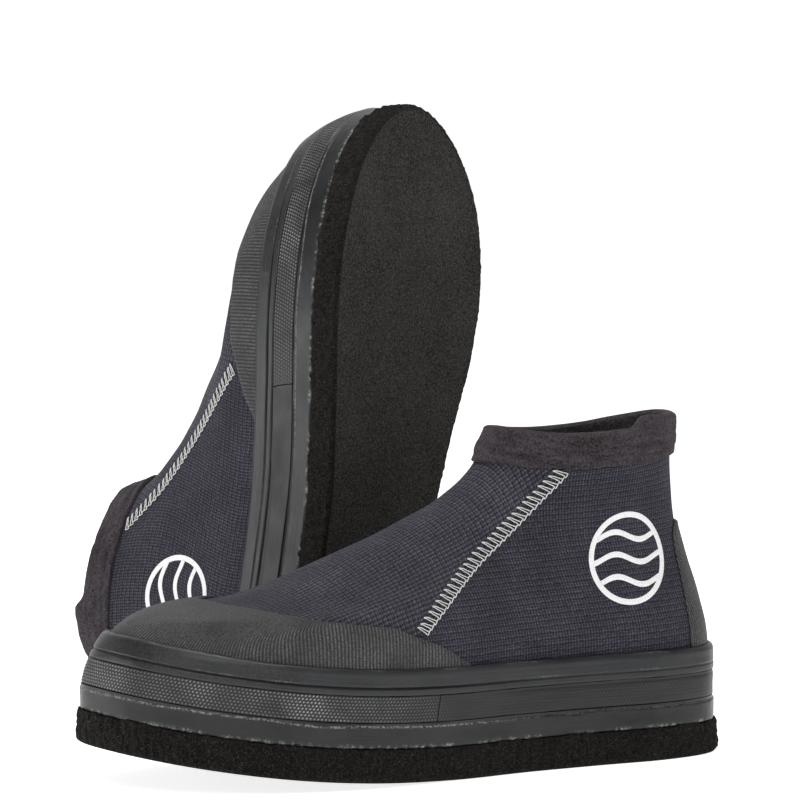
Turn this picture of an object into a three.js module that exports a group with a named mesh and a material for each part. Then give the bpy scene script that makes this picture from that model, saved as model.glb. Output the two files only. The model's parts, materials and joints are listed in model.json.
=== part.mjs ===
// A pair of low neoprene water boots with rubber foxing and felt soles, in millimetres, +Z up.
// The left boot stands on its felt sole; the right boot is its mirror image, standing on its heel.
// Each boot is built in its own frame (x to the toe, y to the outer side, z up) and then placed.
import * as THREE from 'three';
import { LoftGeometry } from 'three/addons/geometries/LoftGeometry.js';

// ---- driving dimensions ------------------------------------------------------------------
const SOLE_LENGTH = 304;
const SOLE_WIDTH = 111;
const CUFF_HEIGHT = 150;
const CUFF_HALF_WIDTH = 31;
const TOE_SPRING = 20;
const SPRING_START = 125;
const FELT_THICKNESS = 14.5;
const MIDSOLE_THICKNESS = 11.2;
const STRIP_HEIGHT = 11.7;
const FOXING_HEIGHT = 11.2;
const NEOPRENE_THICKNESS = 3.5;
const RUBBER_SKIN = 1.1;
const BAND_OFFSET = 4.2;
const BINDING_THICKNESS = 1.6;
const BINDING_OUTER_LEG = 15;
const BINDING_INNER_LEG = 12;
const INSOLE_THICKNESS = 4.4;
const BOARD_THICKNESS = 2;
const THREAD_WIDTH = 6;
const THREAD_THICKNESS = 0.5;
const TAPE_WIDTH = 12;
const TAPE_THICKNESS = 0.6;
const MARK_RADIUS = 21;
const MARK_LINE = 2.6;
const MARK_THICKNESS = 0.3;
const GAP = 0.3;
const SKIN_GAP = 0.45;
const RING_STEPS = 64;

// ---- placing of the second boot ----------------------------------------------------------
const RIGHT_TURN = -60.3;
const RIGHT_LEAN_SIDE = 12.5;
const RIGHT_LEAN_BACK = -4.6;
const RIGHT_SHIFT_X = -148.4;
const RIGHT_SHIFT_Y = 66.2;

// ---- levels and outlines -----------------------------------------------------------------
const MIDSOLE_TOP = FELT_THICKNESS + GAP + MIDSOLE_THICKNESS;
const STRIP_TOP = MIDSOLE_TOP + GAP + STRIP_HEIGHT;
const FOXING_TOP = STRIP_TOP + GAP + FOXING_HEIGHT;
const LENGTH_SCALE = SOLE_LENGTH / 304;
const WIDTH_SCALE = SOLE_WIDTH / 111;

// Sole outline for a 304 x 111 sole, from the toe tip round the outer side to the heel and back.
const OUTLINE = [
  [300, -5], [289, 22], [264, 42], [228, 54], [190, 55.5], [150, 49.5], [110, 42],
  [70, 39], [36, 37.5], [8, 27], [-4, 0], [8, -27], [36, -37.5], [70, -38],
  [110, -38.5], [150, -43], [190, -52], [228, -55.5], [264, -49], [289, -31],
];

// Upper profiles as [level, x]; levels run from the midsole top (26) to the cuff (150).
const FRONT_PROFILE = [
  [20, 295.6], [26, 295], [32, 293.6], [38, 291.2], [44, 288], [49.5, 284], [55, 278.5],
  [60, 270.5], [65, 259], [68.5, 247], [72.5, 231.5], [79, 216], [88, 196.5],
  [97, 178], [105.5, 158.5], [110.5, 148], [115, 138.5], [121, 128.5], [128, 118.5],
  [135.5, 111], [143, 107], [150, 104.5], [154, 103.5],
];
const HEEL_PROFILE = [
  [20, 0.2], [50, 0.2], [57, 0.9], [72, 4.5], [93, 10.5], [105, 14], [119, 16.3],
  [133, 17.3], [150, 16], [154, 15.6],
];
const SEAM_PROFILE = [
  [20, 186], [27, 183], [38, 178], [50, 172], [63.6, 163], [80, 146], [95, 129],
  [108, 112], [122, 96], [135.6, 82], [150, 72], [154, 70],
];
const TOE_CAP_TOP = [
  [0.48, 50.2], [0.536, 57], [0.622, 63.5], [0.68, 66.6], [0.76, 68.3], [0.83, 69], [1, 70],
];

// ---- small numeric helpers ---------------------------------------------------------------
function clamp01(value) {
  return Math.min(1, Math.max(0, value));
}

function smooth(low, high, value) {
  const t = clamp01((value - low) / (high - low));
  return t * t * (3 - 2 * t);
}

function mix(a, b, t) {
  return a + (b - a) * t;
}

// Smooth interpolation of a [key, value] table (monotone cubic through its points).
function tabulate(table) {
  const n = table.length;
  const slope = [];
  for (let i = 0; i < n - 1; i += 1) {
    slope.push((table[i + 1][1] - table[i][1]) / (table[i + 1][0] - table[i][0]));
  }
  const tangent = [slope[0]];
  for (let i = 1; i < n - 1; i += 1) {
    const same = slope[i - 1] * slope[i] > 0;
    const mean = 2 * slope[i - 1] * slope[i] / (slope[i - 1] + slope[i]);
    tangent.push(same ? mean : 0);
  }
  tangent.push(slope[n - 2]);
  return (key) => {
    let i = 0;
    while (i < n - 2 && key > table[i + 1][0]) {
      i += 1;
    }
    const width = table[i + 1][0] - table[i][0];
    const t = clamp01((key - table[i][0]) / width);
    const t2 = t * t;
    const t3 = t2 * t;
    const ends = (2 * t3 - 3 * t2 + 1) * table[i][1] + (3 * t2 - 2 * t3) * table[i + 1][1];
    const bends = (t3 - 2 * t2 + t) * tangent[i] + (t3 - t2) * tangent[i + 1];
    return ends + bends * width;
  };
}

// Levels of the tables above follow the real heights of the sole and the cuff.
function toTable(level) {
  if (level <= FOXING_TOP) {
    return 26 + (level - MIDSOLE_TOP) * (49.5 - 26) / (FOXING_TOP - MIDSOLE_TOP);
  }
  return 49.5 + (level - FOXING_TOP) * (150 - 49.5) / (CUFF_HEIGHT - FOXING_TOP);
}

function toLevel(tableLevel) {
  if (tableLevel <= 49.5) {
    return MIDSOLE_TOP + (tableLevel - 26) * (FOXING_TOP - MIDSOLE_TOP) / (49.5 - 26);
  }
  return FOXING_TOP + (tableLevel - 49.5) * (CUFF_HEIGHT - FOXING_TOP) / (150 - 49.5);
}

const frontTable = tabulate(FRONT_PROFILE);
const heelTable = tabulate(HEEL_PROFILE);
const seamTable = tabulate(SEAM_PROFILE);
const capTable = tabulate(TOE_CAP_TOP);

// ---- the sole outline and its insets -----------------------------------------------------
const outlineCurve = new THREE.CatmullRomCurve3(
  OUTLINE.map(([x, y]) => new THREE.Vector3(x * LENGTH_SCALE, y * WIDTH_SCALE, 0)),
  true,
  'catmullrom',
  0.5,
);

// Two half outlines (outer and inner side) inset by a distance, read as y at a given x.
function insetOutline(inset) {
  const samples = 1600;
  const halves = [[], []];
  for (let i = 0; i <= samples; i += 1) {
    const t = i / samples;
    const point = outlineCurve.getPoint(t % 1);
    const ahead = outlineCurve.getPoint((t + 0.0004) % 1);
    const behind = outlineCurve.getPoint((t + 0.9996) % 1);
    const run = ahead.sub(behind).normalize();
    const entry = [point.x - inset * run.y, point.y + inset * run.x];
    if (t <= 0.5) {
      halves[0].unshift(entry);
    }
    if (t >= 0.5) {
      halves[1].push(entry);
    }
  }
  const lookUp = (half, x) => {
    let low = 0;
    let high = half.length - 1;
    while (high - low > 1) {
      const middle = Math.floor((low + high) / 2);
      if (half[middle][0] <= x) {
        low = middle;
      } else {
        high = middle;
      }
    }
    const span = half[high][0] - half[low][0];
    const t = span > 1e-9 ? clamp01((x - half[low][0]) / span) : 0;
    return mix(half[low][1], half[high][1], t);
  };
  const last = halves[0].length - 1;
  return {
    heel: halves[0][0][0],
    toe: halves[0][last][0],
    outer: (x) => lookUp(halves[0], x),
    inner: (x) => lookUp(halves[1], x),
  };
}

const upperOutline = insetOutline(BAND_OFFSET);

// The toe curls up off the ground from the ball of the foot forward.
function springAt(x) {
  const start = SPRING_START * LENGTH_SCALE;
  const reach = Math.max(0, x - start) / (300 * LENGTH_SCALE - start);
  return TOE_SPRING * reach * reach;
}

function spring(point) {
  return new THREE.Vector3(point.x, point.y, point.z + springAt(point.x));
}

// ---- the outside surface of the upper ----------------------------------------------------
// theta runs round the boot: 0 at the toe, a quarter turn on the outer side, half at the heel.
function upperPoint(theta, level) {
  const key = toTable(level);
  const share = (1 + Math.cos(theta)) / 2;
  const heel = heelTable(key) * LENGTH_SCALE;
  const front = frontTable(key) * LENGTH_SCALE;
  const x = mix(heel, front, share);
  const slim = smooth(56, 122, key);
  const stretch = 1 - smooth(54, 84, key);
  const fromHeel = (upperOutline.heel - heel) * (1 - share) ** 6;
  const fromToe = (upperOutline.toe - front) * stretch * share ** 4;
  const probe = x + fromHeel + fromToe;
  const outer = upperOutline.outer(probe);
  const inner = upperOutline.inner(probe);
  const capLength = 0.02 + 72 * LENGTH_SCALE * smooth(52, 88, key);
  const t = clamp01((front - x) / capLength);
  const cap = Math.sqrt(1 - (1 - t) ** 2);
  const low = (outer - inner) / 2 * cap;
  const high = CUFF_HALF_WIDTH * Math.abs(Math.sin(theta)) ** 0.92;
  const half = mix(low, high, slim);
  const middle = (outer + inner) / 2 * (1 - slim);
  const side = Math.sin(theta) >= 0 ? 1 : -1;
  const wave = 2.5 * Math.cos(2 * theta) - 2 * Math.cos(theta);
  const rise = (wave + 0.5) * smooth(88, 152, key) ** 2;
  return new THREE.Vector3(x, middle + side * half, level + rise);
}

function upperNormal(theta, level) {
  const stepT = 0.004;
  const stepL = 0.25;
  const round = upperPoint(theta + stepT, level).sub(upperPoint(theta - stepT, level));
  const up = upperPoint(theta, level + stepL).sub(upperPoint(theta, level - stepL));
  const normal = round.cross(up).normalize();
  normal.z *= smooth(MIDSOLE_TOP + 6, FOXING_TOP + 4, level);
  return normal.normalize();
}

// A point of the upper pushed out (or in, when negative) along the surface normal.
function skinPoint(theta, level, offset) {
  const normal = upperNormal(theta, level);
  return spring(upperPoint(theta, level).addScaledVector(normal, offset));
}

// The turn at which the upper passes through a given x on a level.
function thetaAt(x, level) {
  const key = toTable(level);
  const heel = heelTable(key) * LENGTH_SCALE;
  const front = frontTable(key) * LENGTH_SCALE;
  return Math.acos(2 * clamp01((x - heel) / (front - heel)) - 1);
}

function seamTheta(level, shift = 0) {
  return thetaAt(seamTable(toTable(level)) * LENGTH_SCALE + shift, level);
}

function shareOf(theta) {
  return (1 + Math.cos(theta)) / 2;
}

// ---- solid builders ----------------------------------------------------------------------
function signedVolume(geometry) {
  const position = geometry.getAttribute('position');
  const index = geometry.getIndex();
  const a = new THREE.Vector3();
  const b = new THREE.Vector3();
  const c = new THREE.Vector3();
  let volume = 0;
  for (let i = 0; i < index.count; i += 3) {
    a.fromBufferAttribute(position, index.getX(i));
    b.fromBufferAttribute(position, index.getX(i + 1));
    c.fromBufferAttribute(position, index.getX(i + 2));
    volume += a.dot(b.cross(c)) / 6;
  }
  return volume;
}

// Turns every triangle over when a body faces inwards.
function faceOut(geometry) {
  if (signedVolume(geometry) < 0) {
    const index = geometry.getIndex();
    for (let i = 0; i < index.count; i += 3) {
      const keep = index.getX(i + 1);
      index.setX(i + 1, index.getX(i + 2));
      index.setX(i + 2, keep);
    }
  }
  geometry.computeVertexNormals();
  return geometry;
}

// A closed ring swept round the boot: profile(theta) gives the section as [level, offset] pairs.
function ringSolid(profile, steps = RING_STEPS) {
  const sections = [];
  for (let i = 0; i < steps; i += 1) {
    const theta = 2 * Math.PI * i / steps;
    const pairs = profile(theta);
    sections.push(pairs.map(([level, offset]) => skinPoint(theta, level, offset)));
  }
  sections.push(sections[0].map((point) => point.clone()));
  return faceOut(new LoftGeometry(sections, { closed: true }));
}

// The same sweep over part of the turn, closed at both ends.
function arcSolid(profile, from, to, steps) {
  const sections = [];
  for (let i = 0; i <= steps; i += 1) {
    const theta = mix(to, from, i / steps);
    const pairs = profile(theta);
    sections.push(pairs.map(([level, offset]) => skinPoint(theta, level, offset)));
  }
  const ends = { closed: true, capStart: true, capEnd: true };
  return faceOut(new LoftGeometry(sections, ends));
}

// A thick sheet over a grid: place(a, b) gives [theta, level]; all six sides are made of quads.
function sheetSolid(place, columns, rows, outward, inward) {
  const positions = [];
  const indices = [];
  const stride = rows.length;
  const layer = (columns + 1) * stride;
  for (const offset of [outward, inward]) {
    for (let i = 0; i <= columns; i += 1) {
      for (const b of rows) {
        const [theta, level] = place(i / columns, b);
        positions.push(...skinPoint(theta, level, offset).toArray());
      }
    }
  }
  const quad = (a, b, c, d) => indices.push(a, b, d, b, c, d);
  for (let i = 0; i < columns; i += 1) {
    for (let j = 0; j < stride - 1; j += 1) {
      const a = i * stride + j;
      quad(a, a + stride, a + stride + 1, a + 1);
      quad(a + layer, a + layer + 1, a + layer + stride + 1, a + layer + stride);
    }
    const low = i * stride;
    const top = low + stride - 1;
    quad(low, low + layer, low + layer + stride, low + stride);
    quad(top, top + stride, top + layer + stride, top + layer);
  }
  for (let j = 0; j < stride - 1; j += 1) {
    const end = columns * stride + j;
    quad(j, j + 1, j + layer + 1, j + layer);
    quad(end, end + layer, end + layer + 1, end + 1);
  }
  const geometry = new THREE.BufferGeometry();
  geometry.setAttribute('position', new THREE.Float32BufferAttribute(positions, 3));
  geometry.setIndex(indices);
  return faceOut(geometry);
}

// A sole layer lofted along x, its edge profile given as [height above floor, inset] pairs.
function soleSolid(edge, toeTrim, stations) {
  const outlines = edge.map(([, inset]) => insetOutline(inset));
  const sections = [];
  for (let i = 0; i <= stations; i += 1) {
    const share = (1 - Math.cos(Math.PI * mix(0.045, 0.955, i / stations))) / 2;
    const rightSide = [];
    const leftSide = [];
    edge.forEach(([height], j) => {
      const line = outlines[j];
      const trim = toeTrim * share ** 4;
      const reach = mix(line.heel, line.toe, share);
      const x = reach - trim;
      leftSide.push(spring(new THREE.Vector3(x, line.outer(reach), height)));
      rightSide.unshift(spring(new THREE.Vector3(x, line.inner(reach), height)));
    });
    sections.push([...leftSide, ...rightSide]);
  }
  const ends = { closed: true, capStart: true, capEnd: true };
  return faceOut(new LoftGeometry(sections, ends));
}

// ---- the pieces of one boot --------------------------------------------------------------
function feltOutsole() {
  const top = FELT_THICKNESS;
  const edge = [[0, -0.2], [1.4, -1.5], [top - 1, -1], [top, -0.2]];
  return soleSolid(edge, 0, 30);
}

function rubberMidsole() {
  const low = FELT_THICKNESS + GAP;
  const high = MIDSOLE_TOP;
  const edge = [[low, 1], [low + 1.2, 0.1], [high - 2.2, 0.3], [high, 1.3]];
  return soleSolid(edge, 0, 30);
}

// The bands rest on the skins at toe and heel and straight on the neoprene between them.
function bandInside(theta) {
  const share = shareOf(theta);
  const overSkin = share > 0.43 || share < 0.115;
  return overSkin ? SKIN_GAP + RUBBER_SKIN + GAP : GAP;
}

function stripProfile(theta) {
  const low = MIDSOLE_TOP + GAP;
  const high = low + STRIP_HEIGHT;
  const inside = bandInside(theta);
  return [
    [low, inside], [low, BAND_OFFSET - 0.6], [low + 1, BAND_OFFSET],
    [high - 1, BAND_OFFSET], [high, BAND_OFFSET - 0.7], [high, inside],
  ];
}

const STRIP_END = 1.51;

function toeBumper() {
  return arcSolid(stripProfile, -STRIP_END, STRIP_END, 34);
}

function sideFoxing() {
  const start = STRIP_END + 0.003;
  return arcSolid(stripProfile, start, 2 * Math.PI - start, 34);
}

function foxingProfile(theta) {
  const low = STRIP_TOP + GAP;
  const high = low + FOXING_HEIGHT;
  const groove = low + FOXING_HEIGHT * 0.3;
  const inside = bandInside(theta);
  return [
    [low, inside], [low, BAND_OFFSET - 0.9], [low + 0.8, BAND_OFFSET - 0.2],
    [groove - 0.7, BAND_OFFSET - 0.2], [groove, BAND_OFFSET - 1.1],
    [groove + 0.7, BAND_OFFSET], [high - 1.4, BAND_OFFSET - 0.2],
    [high, BAND_OFFSET - 1.3], [high, inside], [toLevel(45), inside],
  ];
}

function upperFoxing() {
  return ringSolid(foxingProfile);
}

const LOW_EDGE = MIDSOLE_TOP + GAP;
const ROW_LEVELS = [
  LOW_EDGE, toLevel(38), toLevel(45), toLevel(50), toLevel(55), toLevel(60), toLevel(65),
  toLevel(70), toLevel(78), toLevel(88), toLevel(99), toLevel(111), toLevel(123),
  CUFF_HEIGHT - BINDING_OUTER_LEG, CUFF_HEIGHT,
];
const ROW_SHARES = ROW_LEVELS.map((level) => (level - LOW_EDGE) / (CUFF_HEIGHT - LOW_EDGE));

function levelAt(b) {
  return mix(LOW_EDGE, CUFF_HEIGHT, b);
}

function vamp() {
  const place = (a, b) => {
    const reach = seamTheta(levelAt(b), 0.2);
    return [mix(-reach, reach, a), levelAt(b)];
  };
  return sheetSolid(place, 26, ROW_SHARES, 0, -NEOPRENE_THICKNESS);
}

const HEEL_JOIN = 0.004;

function quarter(side) {
  const place = (a, b) => {
    const start = seamTheta(levelAt(b), -0.2);
    const theta = mix(start, Math.PI - HEEL_JOIN, a);
    return [side * theta, levelAt(b)];
  };
  return sheetSolid(place, 14, ROW_SHARES, 0, -NEOPRENE_THICKNESS);
}

// The toe cap reaches up to a long curved edge and tapers to a wing on each side.
function toeCap() {
  const end = Math.acos(2 * TOE_CAP_TOP[0][0] - 1);
  const keys = [27, 38, 45, 50];
  const place = (a, b) => {
    const theta = mix(-end, end, a);
    const top = capTable(shareOf(theta));
    const key = b <= 3 ? keys[b] : mix(50, Math.max(top, 50.05), (b - 3) / 4);
    return [theta, toLevel(key)];
  };
  const rows = [0, 1, 2, 3, 4, 5, 6, 7];
  return sheetSolid(place, 30, rows, SKIN_GAP + RUBBER_SKIN, SKIN_GAP);
}

// The heel cap is a narrow shield up the back, with rounded top corners.
function heelCap() {
  const levels = [27, 38, 50, 60, 72, 84, 94, 100, 104, 106].map(toLevel);
  const place = (a, b) => {
    const level = levels[b];
    const key = toTable(level);
    const corner = Math.sqrt(Math.max(0, 1 - (Math.max(0, key - 96) / 11) ** 2));
    const half = Math.PI - thetaAt(mix(19, 23, (key - 50) / 56) * LENGTH_SCALE, level);
    const reach = half * mix(0.45, 1, corner);
    return [Math.PI + mix(-reach, reach, a), level];
  };
  const rows = levels.map((level, i) => i);
  return sheetSolid(place, 8, rows, SKIN_GAP + RUBBER_SKIN, SKIN_GAP);
}

function bindingProfile() {
  const top = CUFF_HEIGHT;
  const out = GAP + BINDING_THICKNESS;
  const inFace = -NEOPRENE_THICKNESS - GAP;
  const inside = inFace - BINDING_THICKNESS + 0.2;
  const crown = top + GAP + BINDING_THICKNESS;
  return [
    [top - BINDING_OUTER_LEG, GAP], [top - BINDING_OUTER_LEG, out - 0.3],
    [top - BINDING_OUTER_LEG + 1, out], [top - 0.4, out], [crown - 0.4, out - 1.1],
    [crown, mix(out, inside, 0.5)], [crown - 0.4, inside + 1.1], [top - 0.4, inside],
    [top - BINDING_INNER_LEG, inside], [top - BINDING_INNER_LEG, inFace],
    [top + GAP, inFace], [top + GAP, GAP],
  ];
}

function cuffBinding() {
  return ringSolid(bindingProfile, 48);
}

function insoleBoard() {
  const low = MIDSOLE_TOP + GAP;
  const inset = BAND_OFFSET + NEOPRENE_THICKNESS + 0.9;
  return soleSolid([[low, inset], [low + BOARD_THICKNESS, inset]], 4.5, 24);
}

function insole() {
  const low = MIDSOLE_TOP + BOARD_THICKNESS + 2 * GAP;
  const high = low + INSOLE_THICKNESS;
  const inset = BAND_OFFSET + NEOPRENE_THICKNESS + 1;
  return soleSolid([[low, inset], [high - 1, inset], [high, inset + 1.2]], 5, 24);
}

// A flat seam ribbon lying along the joint between the vamp and a quarter.
function seamThread(side) {
  const sections = [];
  const low = toLevel(65.5);
  const high = CUFF_HEIGHT - BINDING_OUTER_LEG - 0.6;
  const steps = 18;
  const reach = THREAD_WIDTH * 0.68 * side;
  for (let i = 0; i <= steps; i += 1) {
    const level = mix(low, high, i / steps);
    const x = seamTable(toTable(level)) * LENGTH_SCALE;
    const section = [];
    for (const [shift, lift] of [[reach, 0], [reach, 1], [-reach, 1], [-reach, 0]]) {
      const theta = side * thetaAt(x + shift, level);
      const offset = SKIN_GAP + 0.1 + lift * THREAD_THICKNESS;
      section.push(skinPoint(theta, level, offset));
    }
    sections.push(section);
  }
  const ends = { closed: true, capStart: true, capEnd: true };
  return faceOut(new LoftGeometry(sections, ends));
}

function backSeamTape() {
  const sections = [];
  const low = MIDSOLE_TOP + BOARD_THICKNESS + INSOLE_THICKNESS + 3;
  const high = CUFF_HEIGHT - BINDING_INNER_LEG - 0.8;
  const steps = 14;
  for (let i = 0; i <= steps; i += 1) {
    const level = mix(low, high, i / steps);
    const face = -NEOPRENE_THICKNESS - GAP;
    const middle = skinPoint(Math.PI, level, face);
    const back = middle.x + 0.15;
    const half = TAPE_WIDTH / 2;
    const bow = 1.1;
    const section = [
      new THREE.Vector3(back + bow, half, middle.z),
      new THREE.Vector3(back, 0, middle.z),
      new THREE.Vector3(back + bow, -half, middle.z),
      new THREE.Vector3(back + bow + TAPE_THICKNESS, -half, middle.z),
      new THREE.Vector3(back + TAPE_THICKNESS, 0, middle.z),
      new THREE.Vector3(back + bow + TAPE_THICKNESS, half, middle.z),
    ];
    sections.push(section);
  }
  const ends = { closed: true, capStart: true, capEnd: true };
  return faceOut(new LoftGeometry(sections, ends));
}

// A plain roundel with three water lines, drawn flat and then laid on the outer quarter.
function outerMark() {
  const centreX = 51 * LENGTH_SCALE;
  const centreLevel = toLevel(92);
  const inner = MARK_RADIUS - MARK_LINE;
  const half = MARK_LINE / 2;
  const wave = (x) => 2 * Math.sin(x / MARK_RADIUS * Math.PI * 1.5);
  const circle = (x) => Math.sqrt(Math.max(0, inner * inner - x * x));
  const rows = [-0.48, 0, 0.48].map((row) => row * MARK_RADIUS);
  const shape = new THREE.Shape();
  shape.absarc(0, 0, MARK_RADIUS, 0, 2 * Math.PI, false);
  for (let i = 0; i <= rows.length; i += 1) {
    const lowLine = (x) => (i === 0 ? -Infinity : rows[i - 1] + wave(x) + half);
    const highLine = (x) => (i === rows.length ? Infinity : rows[i] + wave(x) - half);
    const lower = [];
    const upper = [];
    for (let x = -inner; x <= inner; x += 1.75) {
      const bottom = Math.max(lowLine(x), -circle(x));
      const top = Math.min(highLine(x), circle(x));
      if (top - bottom > 0.35) {
        lower.push(new THREE.Vector2(x, bottom));
        upper.unshift(new THREE.Vector2(x, top));
      }
    }
    shape.holes.push(new THREE.Path([...lower, ...upper]));
  }
  const options = { depth: MARK_THICKNESS, bevelEnabled: false, curveSegments: 14 };
  const flat = new THREE.ExtrudeGeometry(shape, options);
  const position = flat.getAttribute('position');
  for (let i = 0; i < position.count; i += 1) {
    const level = centreLevel + position.getY(i);
    const x = centreX + position.getX(i);
    const theta = thetaAt(x, level);
    const point = skinPoint(theta, level, SKIN_GAP + position.getZ(i));
    position.setXYZ(i, point.x, point.y, point.z);
  }
  if (flat.getIndex() === null) {
    flat.setIndex(Array.from({ length: position.count }, (unused, i) => i));
  }
  return faceOut(flat);
}

// ---- colours and assembly ----------------------------------------------------------------
function finish(color, roughness) {
  return new THREE.MeshStandardMaterial({ color, roughness, metalness: 0 });
}

const FELT = finish(0x1c1917, 0.98);
const RUBBER = finish(0x3c3d40, 0.5);
const CAP_RUBBER = finish(0x3a3c3b, 0.7);
const NEOPRENE = finish(0x272a34, 0.9);
const BINDING = finish(0x241f24, 0.95);
const THREAD = finish(0xe8e8e6, 0.6);
const PRINT = finish(0xf2f2f0, 0.5);
const FOAM = finish(0x2e2f31, 0.95);
const BOARD = finish(0x6b6459, 0.9);

const PIECES = [
  ['felt_outsole', feltOutsole, FELT],
  ['rubber_midsole', rubberMidsole, RUBBER],
  ['toe_bumper', toeBumper, RUBBER],
  ['side_foxing', sideFoxing, RUBBER],
  ['upper_foxing', upperFoxing, RUBBER],
  ['toe_cap', toeCap, CAP_RUBBER],
  ['heel_cap', heelCap, CAP_RUBBER],
  ['vamp', vamp, NEOPRENE],
  ['outer_quarter', () => quarter(1), NEOPRENE],
  ['inner_quarter', () => quarter(-1), NEOPRENE],
  ['cuff_binding', cuffBinding, BINDING],
  ['insole', insole, FOAM],
  ['insole_board', insoleBoard, BOARD],
  ['outer_seam_thread', () => seamThread(1), THREAD],
  ['inner_seam_thread', () => seamThread(-1), THREAD],
  ['back_seam_tape', backSeamTape, BINDING],
  ['outer_mark', outerMark, PRINT],
];

// The left boot points its toe along -X with its outer side towards -Y.
function leftPlacing() {
  return new THREE.Matrix4().makeScale(-1, -1, 1);
}

// The right boot is mirrored, its toe turned straight up, then turned and leaned.
function rightPlacing() {
  const upright = new THREE.Matrix4().set(0, 0, -1, 0, 0, -1, 0, 0, 1, 0, 0, 0, 0, 0, 0, 1);
  const turn = new THREE.Matrix4().makeRotationZ(THREE.MathUtils.degToRad(RIGHT_TURN));
  const side = new THREE.Matrix4().makeRotationY(THREE.MathUtils.degToRad(RIGHT_LEAN_SIDE));
  const back = new THREE.Matrix4().makeRotationX(THREE.MathUtils.degToRad(RIGHT_LEAN_BACK));
  return back.multiply(side).multiply(turn).multiply(upright);
}

function bootMeshes(prefix, placing) {
  return PIECES.map(([name, build, material]) => {
    const geometry = build();
    geometry.applyMatrix4(placing);
    const mesh = new THREE.Mesh(faceOut(geometry), material);
    mesh.name = `${prefix}_${name}`;
    return mesh;
  });
}

function boundsOf(meshes) {
  const box = new THREE.Box3();
  meshes.forEach((mesh) => box.expandByObject(mesh, true));
  return box;
}

const leftMeshes = bootMeshes('left', leftPlacing());
const rightMeshes = bootMeshes('right', rightPlacing());

// The right boot is set on the floor beside the toe half of the left one.
const rightDrop = -boundsOf(rightMeshes).min.z;
rightMeshes.forEach((mesh) => mesh.geometry.translate(RIGHT_SHIFT_X, RIGHT_SHIFT_Y, rightDrop));

// The pair is centred over the origin.
const pairBox = boundsOf([...leftMeshes, ...rightMeshes]);
const centre = pairBox.getCenter(new THREE.Vector3());
const group = new THREE.Group();
[...leftMeshes, ...rightMeshes].forEach((mesh) => {
  mesh.geometry.translate(-centre.x, -centre.y, -pairBox.min.z);
  group.add(mesh);
});

export default group;
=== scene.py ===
"""A pair of low neoprene water boots with rubber foxing and thick felt soles.

Every piece is built on a last: a smooth surface given in millimetres in the boot's own frame (x to
the toe, y to the outer side, z up), which is then placed in the frame's metres. The left boot stands
on its felt sole; the right boot is its mirror image and stands on its heel.
"""

import json
import logging
import math
from dataclasses import dataclass, field
from enum import Enum
from typing import Callable, Sequence

import bpy
import numpy as np
from mathutils import Matrix, Vector


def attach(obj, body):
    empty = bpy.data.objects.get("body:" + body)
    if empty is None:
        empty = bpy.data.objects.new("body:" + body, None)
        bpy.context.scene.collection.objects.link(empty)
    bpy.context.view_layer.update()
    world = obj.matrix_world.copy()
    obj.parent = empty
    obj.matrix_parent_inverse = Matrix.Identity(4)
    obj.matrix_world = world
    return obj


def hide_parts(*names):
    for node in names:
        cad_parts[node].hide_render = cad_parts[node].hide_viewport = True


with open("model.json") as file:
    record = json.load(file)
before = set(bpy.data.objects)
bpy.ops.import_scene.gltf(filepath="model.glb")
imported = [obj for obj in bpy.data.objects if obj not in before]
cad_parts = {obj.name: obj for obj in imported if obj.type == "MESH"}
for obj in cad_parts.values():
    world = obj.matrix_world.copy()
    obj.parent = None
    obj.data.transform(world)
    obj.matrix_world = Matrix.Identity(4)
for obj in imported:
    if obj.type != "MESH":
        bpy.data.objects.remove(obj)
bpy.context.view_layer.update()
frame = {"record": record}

MILLIMETRE = 0.001
METRE = 1000.0
LOG = logging.getLogger("boots")

Array = np.ndarray
Material = bpy.types.Material
Pair = tuple[float, float]
Triple = tuple[float, float, float]


class Foot(Enum):
    """Which boot of the pair is being made."""

    LEFT = "left"
    RIGHT = "right"


class Side(Enum):
    """The outer and inner side of a boot, as the sign of y on its last."""

    OUTER = 1
    INNER = -1


# ---- sizes of the boot ---------------------------------------------------------------------
@dataclass(frozen=True)
class Sizes:
    """The boot's own dimensions in millimetres, the same values as the solids have."""

    cuff_height: float = 150.0
    cuff_half_width: float = 31.0
    toe_spring: float = 20.0
    spring_start: float = 125.0
    spring_end: float = 300.0
    felt: float = 14.5
    midsole: float = 11.2
    strip: float = 11.7
    foxing: float = 11.2
    neoprene: float = 3.5
    skin: float = 1.1
    band: float = 4.2
    binding: float = 1.6
    binding_outer: float = 15.0
    binding_inner: float = 12.0
    insole: float = 4.4
    board: float = 2.0
    gap: float = 0.3
    skin_gap: float = 0.45

    @property
    def midsole_top(self) -> float:
        """Height of the midsole's top face."""
        return self.felt + self.gap + self.midsole

    @property
    def strip_top(self) -> float:
        """Height of the textured strips' top edge."""
        return self.midsole_top + self.gap + self.strip

    @property
    def foxing_top(self) -> float:
        """Height of the upper foxing's top edge."""
        return self.strip_top + self.gap + self.foxing


SIZES = Sizes()

# Points (x, y) round the sole, from the toe by the outer side to the heel and back.
OUTLINE = (
    (300, -5), (289, 22), (264, 42), (228, 54), (190, 55.5), (150, 49.5), (110, 42),
    (70, 39), (36, 37.5), (8, 27), (-4, 0), (8, -27), (36, -37.5), (70, -38),
    (110, -38.5), (150, -43), (190, -52), (228, -55.5), (264, -49), (289, -31),
)
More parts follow.
